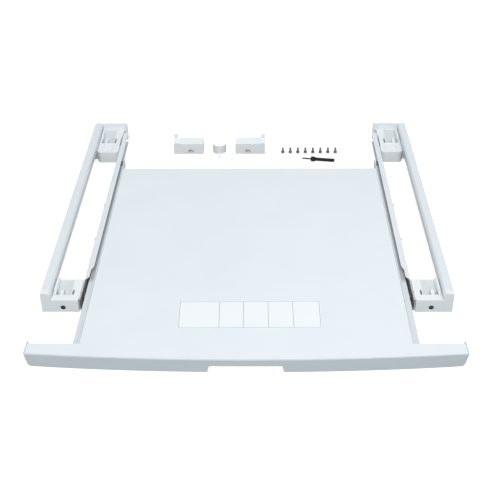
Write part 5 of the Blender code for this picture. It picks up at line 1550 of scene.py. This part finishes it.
def pan_screw(radius, reach):
    """Pan head screw along Z with its head up: the head's height dips where the cross recess is.

    The head is a grid over angle and radius; inside the recess, the height falls with the smaller distance to
    the two bars of the cross.
    """
    turn = full_turn(PAN_STEPS)
    share = np.concatenate([np.linspace(0.001, 0.72, 12), np.linspace(0.76, 1.0, 6)])[:, None]
    x, y = np.abs(radius * share * np.cos(turn)), np.abs(radius * share * np.sin(turn))
    bar, arm = radius * PAN_BAR_SHARE, radius * PAN_ARM_SHARE
    across = np.minimum(np.maximum(x - bar, y - arm), np.maximum(y - bar, x - arm))
    dome = FIXED_SCREW_HEAD * np.sqrt(np.clip(1 - (share * PAN_DOME_SHARE) ** 4, 0, 1)) + 0 * turn
    dome = dome - FIXED_SCREW_HEAD * PAN_DIP_SHARE * np.clip(-across / (bar / 2), 0, 1)
    rest = [
        (radius, 0), (FIXED_SCREW_SHANK, 0), (FIXED_SCREW_SHANK, -reach), (TINY, -reach - FIXED_SCREW_SHANK)
    ]
    points, faces = ringed(np.concatenate([turned(radius * share, dome, turn), turned_profile(rest, turn)]))
    return points, faces + [list(range(PAN_STEPS))]


def fixed_screw(node_name):
    """A built-in screw in its CAD node's place: its head is at the end where the CAD screw has its head."""
    low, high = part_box(node_name)
    middle = (low + high) / 2
    in_fascia = node_name.startswith("fascia")
    reach = (high - low)[1 if in_fascia else 0] - FIXED_SCREW_HEAD - FIXED_SCREW_SHANK
    if in_fascia:
        turn = Matrix.Rotation(-math.pi / 2, 4, "X")
        face = (middle.x, high.y - FIXED_SCREW_HEAD, middle.z)
    else:
        sign = 1 if node_name.endswith("right") else -1
        toward = -sign if node_name.startswith("runner") else sign
        turn = Matrix.Rotation(toward * math.pi / 2, 4, "Y")
        under_head = high.x - FIXED_SCREW_HEAD if toward > 0 else low.x + FIXED_SCREW_HEAD
        face = (under_head, middle.y, middle.z)
    return moved(pan_screw((high.z - low.z) / 2, reach), face, turn)


def sticker(sizes):
    """Bare sticker: a four-cornered sheet blended from its corners, cut along the lines of its printed frame.

    Returns the sheet's points and faces, with the cells of its top first, and which of those cells are ink.
    """
    corners = np.array([(x, at(y)) for x, y in STICKER_CORNERS])
    width, height = corners[1, 0] - corners[0, 0], corners[3, 1] - corners[0, 1]
    half_u, half_v = sizes.sticker_line / width / 2, sizes.sticker_line / height / 2
    marks_u = np.array(STICKER_FIELDS) * (1 - 2 * STICKER_MARGIN / width) + STICKER_MARGIN / width
    marks_v = np.array([STICKER_MARGIN / height, 1 - STICKER_MARGIN / height])
    u = np.sort(np.concatenate([[0, 1], marks_u - half_u, marks_u + half_u]))
    v = np.sort(np.concatenate([[0, 1], marks_v - half_v, marks_v + half_v]))
    gu, gv = (g[..., None] for g in np.meshgrid(u, v, indexing="ij"))
    front, back = corners[0] * (1 - gu) + corners[1] * gu, corners[3] * (1 - gu) + corners[2] * gu
    flat = front * (1 - gv) + back * gv
    top = np.concatenate([flat, np.full_like(gu, TRAY_TOP + STICKER_THICK)], -1)
    under = top - np.array([0, 0, STICKER_THICK * 0.75])
    column, row = np.arange(len(u) - 1)[:, None], np.arange(len(v) - 1)[None, :]
    framed = (column > 0) & (column < len(u) - 2) & (row > 0) & (row < len(v) - 2)
    ink = framed & ((column % 2 == 1) | (row % 2 == 1))
    return shell(top, under, np.ones_like(ink)), ink


# Loose parts

def bracket(node_name, sizes):
    """Corner bracket, drawn with its tab on the right, over one grid.

    Its top is flat, swells a little towards the tab's side, and carries the tab's step and the tab. Rims
    fall, and feet rise, by the quarter circle of edge_fall of the distance to each outline.
    """
    low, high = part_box(node_name)
    edge = sizes.moulding_edge
    width, depth = high.x - low.x, high.y - low.y
    tab_x, tab_y = (width - TAB_WIDTH, width), (TAB_START, TAB_START + TAB_DEPTH)
    step_x = (tab_x[0] - TAB_STEP, width)
    hole = width - ARCH_PLACE
    tunnel = ARCH_HALF_WIDTH + ARCH_WALL
    swell = np.linspace(width - BRACKET_SWELL_START, width - TAB_WIDTH / 2, 9)
    xs = rim_lines([0, step_x[0], tab_x[0], width], [hole - tunnel, hole + tunnel, *swell], edge, 0, width)
    plain_y = [BRACKET_WALL, ARCH_TUNNEL + BRACKET_WALL, depth]
    ys = rim_lines([0, *tab_y, depth], plain_y, edge, 0, depth)
    x, y = np.meshgrid(xs, ys, indexing="ij")

    def top_of(px, py):
        share = np.clip((px - swell[0]) / (swell[-1] - swell[0]), 0, 1)
        height = BRACKET_HEIGHT + BRACKET_SWELL * share**2 * (3 - 2 * share)
        height = height - edge_fall(-away_from(px, py, (0, width), (0, depth)), edge)
        for span_x, top in ((step_x, BRACKET_HEIGHT + TAB_STEP_RISE), (tab_x, high.z)):
            outside = away_from(px, py, span_x, tab_y)
            fillet = height + edge_fall(outside, TAB_FILLET)
            height = np.where(outside < 0, top - edge_fall(-outside, edge), fillet)
        return height

    top = top_of(x, y)
    outline = ((0, width), (0, depth + BRACKET_WALL * 2))
    tunnel_boss = ((hole - tunnel, hole + tunnel), (0, ARCH_TUNNEL + BRACKET_WALL))
    bottom = hollowed(top_of, x, y, outline, [tunnel_boss], BRACKET_WALL)
    skip = np.abs((xs[:-1] + xs[1:]) / 2 - hole) < tunnel
    body = slab(x, y, top, bottom, np.ones((len(xs) - 1, len(ys) - 1), bool), skip)
    soft = edge / 2
    rings = [(soft, 0), (soft / 4, soft / 4), (0, soft), (0, ARCH_TUNNEL)]
    middle = (hole, ARCH_FOOT + ARCH_RISE)
    corners = [math.atan2(-ARCH_RISE, side * ARCH_HALF_WIDTH) for side in (-1, 1)]
    block = joined(body, punched_panel(middle, tunnel, BRACKET_HEIGHT - edge, arch_reach, rings, corners))
    if node_name.endswith("left"):
        block = moved(mirrored(block), (width, 0, 0))
    return moved(block, (low.x, low.y, 0))


def retainer(sizes):
    """Foot retainer: half a tube on a half round plate, and a tongue with a rounded tip."""
    low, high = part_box("foot_retainer")
    edge = sizes.recess_edge / 2
    radius, half = (high.x - low.x) / 2, RETAINER_TONGUE / 2
    middle = ((low.x + high.x) / 2, high.y)
    root = middle[1] - radius + RETAINER_WALL
    outer = arc_points(middle, radius, 180, 360, 48)
    inner = arc_points(middle, radius - RETAINER_WALL, 360, 180, 48)
    plate = arc_points(middle, radius - RETAINER_WALL / 2, 180, 360, 48)
    tongue = rounded_path(
        [
            (middle[0], root), (middle[0] - half, root), (middle[0] - half, low.y),
            (middle[0] + half, low.y), (middle[0] + half, root), (middle[0] + GAP, root),
        ],
        (TINY, half * 0.8, half * 0.8, TINY),
    )
    return joined(
        rounded_prism(np.vstack([outer, inner]), (0, high.z), "plan", edge),
        rounded_prism(plate, (GAP, RETAINER_WALL), "plan", edge),
        rounded_prism(tongue, (0, RETAINER_WALL - GAP), "plan", edge),
    )


def tapping_screw(node_name, sizes):
    """Screw that stands on its head: a domed head, and a thread whose radius follows the phase of a helix.

    Radius is the root plus the thread's height times the cube of a triangle wave of height over pitch less
    the angle over a full turn.
    """
    low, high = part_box(node_name)
    middle = (low + high) / 2
    radius, turn = SCREW_HEAD_RADIUS, full_turn(SCREW_STEPS)
    start = SCREW_HEAD_HEIGHT + SCREW_COLLAR
    root = SCREW_SHANK * SCREW_ROOT_SHARE
    height = np.linspace(start, high.z, 70)[:, None]
    wave = np.abs(np.mod(height / sizes.thread_pitch - turn / (2 * math.pi), 1) * 2 - 1) ** 3
    from_tip = np.clip((high.z - height) / SCREW_TIP, 0, 1)
    fade = from_tip * np.clip((height - start) / SCREW_RUN_IN, 0, 1)
    core = root * (1 - 0.5 * (1 - from_tip) ** 2)
    thread = turned(core + SCREW_SHANK * (1 - SCREW_ROOT_SHARE) * wave * fade, height, turn)
    head = [
        (TINY, 0), (radius * 0.72, 0), (radius * 0.9, SCREW_DOME / 3), (radius, SCREW_DOME),
        (radius, SCREW_HEAD_HEIGHT - SCREW_SHOULDER), (radius * 0.93, SCREW_HEAD_HEIGHT),
        (SCREW_COLLAR_RADII[0], SCREW_HEAD_HEIGHT), (SCREW_COLLAR_RADII[1], start), (root, start),
    ]
    loops = np.concatenate([turned_profile(head, turn), thread, turned_profile([(TINY, high.z)], turn)])
    return moved(ringed(loops), (middle.x, middle.y, 0))


def narrowed(loop, share):
    """A loop about Z at a share of its radius."""
    return loop * np.array([share, share, 1])


def driver_handle(flutes):
    """Screwdriver's handle along Z below its face: its radius dips with the cosine of flutes times angle.

    The rows give the height and the share of the collar's radius, down the collar and then down the grip.
    """
    turn = full_turn(HANDLE_STEPS)
    foot, end = -DRIVER_COLLAR, -DRIVER_COLLAR - DRIVER_HANDLE
    grip = DRIVER_HANDLE_RADIUS / DRIVER_COLLAR_RADIUS
    rows = np.array([
        (0, 0.7), (-DRIVER_CHAMFER / 3, 0.78), (-DRIVER_CHAMFER, 0.92), (-DRIVER_BEVEL, 1),
        (foot + DRIVER_BEVEL, 1), (foot + 0.0008, 0.94), (foot, 0.78), (foot - 0.001, 0.7),
        *[(height, grip) for height in np.linspace(foot - 0.003, end + 0.004, 14)],
        (end + 0.0025, 0.66), (end + 0.0012, 0.6), (end + 0.0004, 0.45), (end, 0.28),
    ])
    along, radius = rows[:, :1], rows[:, 1:] * DRIVER_COLLAR_RADIUS
    fade = DRIVER_FADE
    on_grip = np.clip((foot - fade - along) / fade, 0, 1) * np.clip((along - end - fade) / fade, 0, 1)
    fade = DRIVER_FADE / 2
    on_collar = np.clip((along - foot - fade) / fade, 0, 1) * np.clip((-DRIVER_CHAMFER - along) / fade, 0, 1)
    flute = np.clip(-np.cos(turn * flutes), 0, 1) ** 2
    knurl = np.clip(-np.cos(turn * flutes * 3), 0, 1)
    radius = radius - DRIVER_FLUTE * on_grip * flute - DRIVER_KNURL * on_collar * knurl
    skin = turned(radius, along, turn)
    rim = narrowed(skin[:1], 0.42)
    sunk = rim - np.array([0, 0, DRIVER_SINK])
    return ringed(np.concatenate([narrowed(sunk, 0.002), sunk, rim, skin, narrowed(skin[-1:], 0.002)]))


def driver_shaft():
    """Screwdriver's shaft along Z with its tip up: four flutes are cut into the tip."""
    turn = full_turn(SHAFT_STEPS)
    rows = np.array([
        (-0.0006, 0.9), (0, 1), (DRIVER_SHAFT - 0.0032, 1), (DRIVER_SHAFT - 0.0026, 0.94),
        (DRIVER_SHAFT - 0.001, 0.62), (DRIVER_SHAFT - 0.0002, 0.36), (DRIVER_SHAFT, 0.3),
    ])
    along, radius = rows[:, :1], rows[:, 1:] * DRIVER_SHAFT_RADIUS
    on_point = np.clip((along - DRIVER_SHAFT + DRIVER_POINT) / DRIVER_POINT_RUN, 0, 1)
    cross = on_point * DRIVER_POINT_CUT * np.sin(2 * turn) ** 2
    skin = turned(radius * (1 - cross), along, turn)
    return ringed(np.concatenate([narrowed(skin[:1], 0.001), skin, narrowed(skin[-1:], 0.001)]))


def driver_place():
    """Place and turn of the screwdriver: it lies on its collar and on the end of its handle."""
    side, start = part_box("screwdriver_handle")[1].y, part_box("screwdriver_shaft")[0].x
    tilt = math.asin((DRIVER_COLLAR_RADIUS - DRIVER_HANDLE_RADIUS) / (DRIVER_COLLAR / 2 + DRIVER_HANDLE))
    x = start + DRIVER_SHAFT * math.cos(DRIVER_TURN) * math.cos(tilt)
    turn = Matrix.Rotation(DRIVER_TURN, 4, "Z") @ Matrix.Rotation(-math.pi / 2 + tilt, 4, "Y")
    return (x, side - DRIVER_COLLAR_RADIUS, DRIVER_COLLAR_RADIUS + GAP), turn


def studio_room(studio):
    """World whose light is even above the table and weaker below it, blended over a narrow horizon."""
    world = bpy.data.worlds.new("studio_room")
    world.use_nodes = True
    tree = world.node_tree
    background = tree.nodes["Background"]
    background.inputs["Color"].default_value = ROOM_COLOUR
    way = node(tree, "ShaderNodeTexCoord", (-900, 0)).outputs["Generated"]
    height = node(tree, "ShaderNodeSeparateXYZ", (-700, 0), Vector=way).outputs["Z"]
    strength = node(
        tree, "ShaderNodeMapRange", (-500, 0), Value=height, From_Min=HORIZON, From_Max=0.0,
        To_Min=studio.below, To_Max=studio.sky,
    )
    tree.links.new(strength.outputs["Result"], background.inputs["Strength"])
    return world


# Operators, one for each piece or group of like pieces

class PieceOperator:
    """What the operators share: undo, and the sizes of the scene."""

    bl_options = {"REGISTER", "UNDO"}

    @property
    def sizes(self):
        return bpy.context.scene.kit_sizes


class KIT_OT_outer_rails(PieceOperator, bpy.types.Operator):
    """Add the two folded outer rails"""

    bl_idname = "kit.outer_rails"
    bl_label = "Outer rails"

    def execute(self, context):
        ends = (RAIL_LOW.y, RAIL_HIGH.y)
        rail = rounded_prism(rail_section(), ends, "front", self.sizes.sheet_edge)
        both_sides("outer_rail", rail, "side_frames", "rail_sheet", 28)
        return {"FINISHED"}


class KIT_OT_front_blocks(PieceOperator, bpy.types.Operator):
    """Add the two front foot blocks"""

    bl_idname = "kit.front_blocks"
    bl_label = "Front foot blocks"

    def execute(self, context):
        block = moved(front_block(self.sizes), (0, FRONT_FACE, 0))
        blocks = both_sides("front_foot_block", block, "side_frames", "block_moulding")
        # paints shade on the seats' ramps
        repainted(blocks, "seat_painted_shade", lambda middles, normals: in_seat_shade(middles, normals, FRONT_SEAT))
        # paints shade deep in the screw holes
        repainted(blocks, "hole_shade_and_rivet_plate", in_hole_shade)
        return {"FINISHED"}


class KIT_OT_rear_blocks(PieceOperator, bpy.types.Operator):
    """Add the two rear foot blocks"""

    bl_idname = "kit.rear_blocks"
    bl_label = "Rear foot blocks"

    def execute(self, context):
        block = moved(rear_block(self.sizes), (0, FRONT_FACE, 0))
        blocks = both_sides("rear_foot_block", block, "side_frames", "block_moulding")
        # paints shade on the seats' ramps
        repainted(blocks, "seat_painted_shade", lambda middles, normals: in_seat_shade(middles, normals, REAR_SEAT))
        return {"FINISHED"}


class KIT_OT_frame_runners(PieceOperator, bpy.types.Operator):
    """Add the two channels that the tray's rollers run in"""

    bl_idname = "kit.frame_runners"
    bl_label = "Frame runners"

    def execute(self, context):
        runners = both_sides("frame_runner", frame_runner(self.sizes), "side_frames", "runner_steel", 28)
        # paints shade on the inside of the channels
        repainted(runners, "channel_painted_shade", in_channel)
        return {"FINISHED"}


class KIT_OT_drawer_runners(PieceOperator, bpy.types.Operator):
    """Add the two angles on the tray's sides"""

    bl_idname = "kit.drawer_runners"
    bl_label = "Drawer runners"

    def execute(self, context):
        runners = both_sides("drawer_runner", drawer_runner(self.sizes), "tray", "runner_steel", 28)
        # paints shade on the tops of the flanges
        repainted(runners, "track_painted_shade", on_track)
        return {"FINISHED"}


class KIT_OT_rollers(PieceOperator, bpy.types.Operator):
    """Add the four rollers and their pins"""

    bl_idname = "kit.rollers"
    bl_label = "Rollers and pins"

    def execute(self, context):
        for end, body in (("front", "side_frames"), ("rear", "tray")):
            for side in ("left", "right"):
                name = f"{end}_roller_{side}"
                wheel = finished(name, roller(name), name, "roller_nylon")
                # paints shade on the tread
                repainted([wheel], "tread_painted_shade", lambda middles, normals: on_tread(middles, name))
                pin = f"{end}_roller_pin_{side}"
                rivet = finished(pin, roller_pin(pin), body, "zinc_steel")
                if end == "rear":
                    repainted([rivet], "hole_shade_and_rivet_plate", on_rivet)
        return {"FINISHED"}


class KIT_OT_tray_panel(PieceOperator, bpy.types.Operator):
    """Add the tray's folded panel"""

    bl_idname = "kit.tray_panel"
    bl_label = "Tray panel"

    def execute(self, context):
        finished("tray_panel", tray_panel(self.sizes), "tray", "tray_sheet", 30)
        return {"FINISHED"}


class KIT_OT_fascia(PieceOperator, bpy.types.Operator):
    """Add the bowed front with its finger notch"""

    bl_idname = "kit.fascia"
    bl_label = "Fascia"

    def execute(self, context):
        finished("tray_fascia", fascia(self.sizes), "tray", "fascia_moulding")
        return {"FINISHED"}


class KIT_OT_stiffeners(PieceOperator, bpy.types.Operator):
    """Add the stiffeners under the tray"""

    bl_idname = "kit.stiffeners"
    bl_label = "Stiffeners"

    def execute(self, context):
        for word in ("middle", "rear", "front"):
            name = f"tray_stiffener_{word}"
            finished(name, stiffener(name, self.sizes), "tray", "stiffener_steel", 28)
        return {"FINISHED"}


class KIT_OT_fixed_screws(PieceOperator, bpy.types.Operator):
    """Add the screws that hold the runners and the fascia"""

    bl_idname = "kit.fixed_screws"
    bl_label = "Built-in screws"

    def execute(self, context):
        kinds = ("runner_screw", "drawer_screw", "fascia_screw")
        for name in sorted(screw for screw in frame["nodes"] if screw.startswith(kinds)):
            body = "side_frames" if name.startswith("runner") else "tray"
            finished(name, fixed_screw(name), body, "zinc_steel")
        return {"FINISHED"}


class KIT_OT_sticker(PieceOperator, bpy.types.Operator):
    """Add the bare sticker on the tray"""

    bl_idname = "kit.sticker"
    bl_label = "Sticker"

    def execute(self, context):
        block, ink = sticker(self.sizes)
        mesh = piece("sticker", block, "tray", "tray_sheet", 30, TINY / 20).data
        mesh.materials[0] = finish_for("sticker")
        mesh.materials.append(finish_for("sticker_ink"))
        cells = np.zeros(len(mesh.polygons), np.int32)
        cells[:ink.size] = ink.ravel()
        mesh.polygons.foreach_set("material_index", cells)
        return {"FINISHED"}


class KIT_OT_brackets(PieceOperator, bpy.types.Operator):
    """Add the two loose corner brackets"""

    bl_idname = "kit.brackets"
    bl_label = "Corner brackets"

    def execute(self, context):
        for side in ("left", "right"):
            name = f"corner_bracket_{side}"
            finished(name, bracket(name, self.sizes), "side_frames", "bracket_moulding")
        return {"FINISHED"}


class KIT_OT_retainer(PieceOperator, bpy.types.Operator):
    """Add the loose foot retainer"""

    bl_idname = "kit.retainer"
    bl_label = "Foot retainer"

    def execute(self, context):
        finished("foot_retainer", retainer(self.sizes), "side_frames", "bracket_moulding")
        return {"FINISHED"}


class KIT_OT_loose_screws(PieceOperator, bpy.types.Operator):
    """Add the row of loose screws"""

    bl_idname = "kit.loose_screws"
    bl_label = "Loose screws"

    def execute(self, context):
        for i in range(SCREW_COUNT):
            name = f"loose_screw_{i + 1}"
            finished(name, tapping_screw(name, self.sizes), "side_frames", "zinc_steel")
        return {"FINISHED"}


class KIT_OT_screwdriver(PieceOperator, bpy.types.Operator):
    """Add the loose screwdriver"""

    bl_idname = "kit.screwdriver"
    bl_label = "Screwdriver"

    def execute(self, context):
        place, turn = driver_place()
        handle = moved(driver_handle(self.sizes.flutes), place, turn)
        finished("screwdriver_handle", handle, "side_frames", "black_handle")
        finished("screwdriver_shaft", moved(driver_shaft(), place, turn), "side_frames", "dark_steel")
        return {"FINISHED"}


class KIT_OT_cad_finishes(PieceOperator, bpy.types.Operator):
    """Give every CAD node the procedural finish of its slot"""

    bl_idname = "kit.cad_finishes"
    bl_label = "Finishes of the CAD nodes"

    def execute(self, context):
        slots = {part["node"]: part["material_slot"] for part in frame["record"]["subparts"]}
        for name, obj in frame["nodes"].items():
            finish = finish_for(slots[name])
            for material_slot in obj.material_slots:
                material_slot.material = finish
        return {"FINISHED"}


class KIT_OT_stage(PieceOperator, bpy.types.Operator):
    """Add the floor, the soft lights and the camera"""

    bl_idname = "kit.stage"
    bl_label = "Stage"

    def execute(self, context):
        scene = context.scene
        studio = scene.kit_studio
        mesh = bpy.data.meshes.new("studio_floor")
        ways = ((-1, -1), (1, -1), (1, 1), (-1, 1))
        corners = [(x * FLOOR_REACH, y * FLOOR_REACH, -TINY * 5) for x, y in ways]
        mesh.from_pydata(corners, [], [[0, 1, 2, 3]])
        floor = bpy.data.objects.new("studio_floor", mesh)
        scene.collection.objects.link(floor)
        paint = bpy.data.materials.new("pale_floor")
        paint.use_nodes = True
        shader = paint.node_tree.nodes["Principled BSDF"]
        shader.inputs["Base Color"].default_value = (FLOOR_GREY, FLOOR_GREY, FLOOR_GREY, 1)
        shader.inputs["Roughness"].default_value = 0.9
        shader.inputs["Specular IOR Level"].default_value = 0.1
        shader.inputs["Emission Color"].default_value = (1, 1, 1, 1)
        shader.inputs["Emission Strength"].default_value = studio.floor_glow
        mesh.materials.append(paint)
        floor.visible_diffuse = False
        for name, (place, size) in LAMPS.items():
            lamp = bpy.data.lights.new(name + "_light", "AREA")
            lamp.shape = "SQUARE"
            lamp.size = size
            lamp.energy = getattr(studio, name)
            light = bpy.data.objects.new(name + "_light", lamp)
            light.location = place
            light.rotation_euler = (-Vector(place)).to_track_quat("-Z", "Y").to_euler()
            scene.collection.objects.link(light)
        scene.world = studio_room(studio)
        lens = bpy.data.cameras.new("photo_camera")
        lens.sensor_width = CAMERA_SENSOR
        lens.lens = CAMERA_LENS
        camera = bpy.data.objects.new("photo_camera", lens)
        turn = Matrix.Rotation(-CAMERA_YAW, 4, "Z") @ Matrix.Rotation(math.pi / 2 - CAMERA_PITCH, 4, "X")
        camera.matrix_world = Matrix.Translation(CAMERA_PLACE) @ turn @ Matrix.Rotation(CAMERA_ROLL, 4, "Z")
        scene.collection.objects.link(camera)
        scene.camera = camera
        scene.view_settings.view_transform = "Standard"
        return {"FINISHED"}


class KIT_PT_panel(bpy.types.Panel):
    bl_label = "Stacking Kit"
    bl_idname = "KIT_PT_panel"
    bl_space_type = "VIEW_3D"
    bl_region_type = "UI"
    bl_category = "Stacking Kit"

    def draw(self, context):
        layout = self.layout
        for group in (context.scene.kit_sizes, context.scene.kit_colours, context.scene.kit_studio):
            column = layout.column()
            for name in group.__annotations__:
                column.prop(group, name)
        for operator in OPERATORS:
            layout.operator(operator.bl_idname)


OPERATORS = (
    KIT_OT_outer_rails,
    KIT_OT_front_blocks,
    KIT_OT_rear_blocks,
    KIT_OT_frame_runners,
    KIT_OT_drawer_runners,
    KIT_OT_rollers,
    KIT_OT_tray_panel,
    KIT_OT_fascia,
    KIT_OT_stiffeners,
    KIT_OT_fixed_screws,
    KIT_OT_sticker,
    KIT_OT_brackets,
    KIT_OT_retainer,
    KIT_OT_loose_screws,
    KIT_OT_screwdriver,
    KIT_OT_cad_finishes,
    KIT_OT_stage,
)
GROUPS = {"kit_sizes": KitSizes, "kit_colours": KitColours, "kit_studio": KitStudio}


def register():
    """Registers the property groups, the operators and the panel."""
    for name, group in GROUPS.items():
        bpy.utils.register_class(group)
        setattr(bpy.types.Scene, name, PointerProperty(type=group))
    for operator in OPERATORS:
        bpy.utils.register_class(operator)
    bpy.utils.register_class(KIT_PT_panel)


def unregister():
    """Takes back all that register adds."""
    bpy.utils.unregister_class(KIT_PT_panel)
    for operator in reversed(OPERATORS):
        bpy.utils.unregister_class(operator)
    for name, group in GROUPS.items():
        delattr(bpy.types.Scene, name)
        bpy.utils.unregister_class(group)


def main():
    """Builds the scene with the operators."""
    register()
    for operator in OPERATORS:
        group, name = operator.bl_idname.split(".")
        getattr(getattr(bpy.ops, group), name)()


if __name__ == "__main__":
    main()
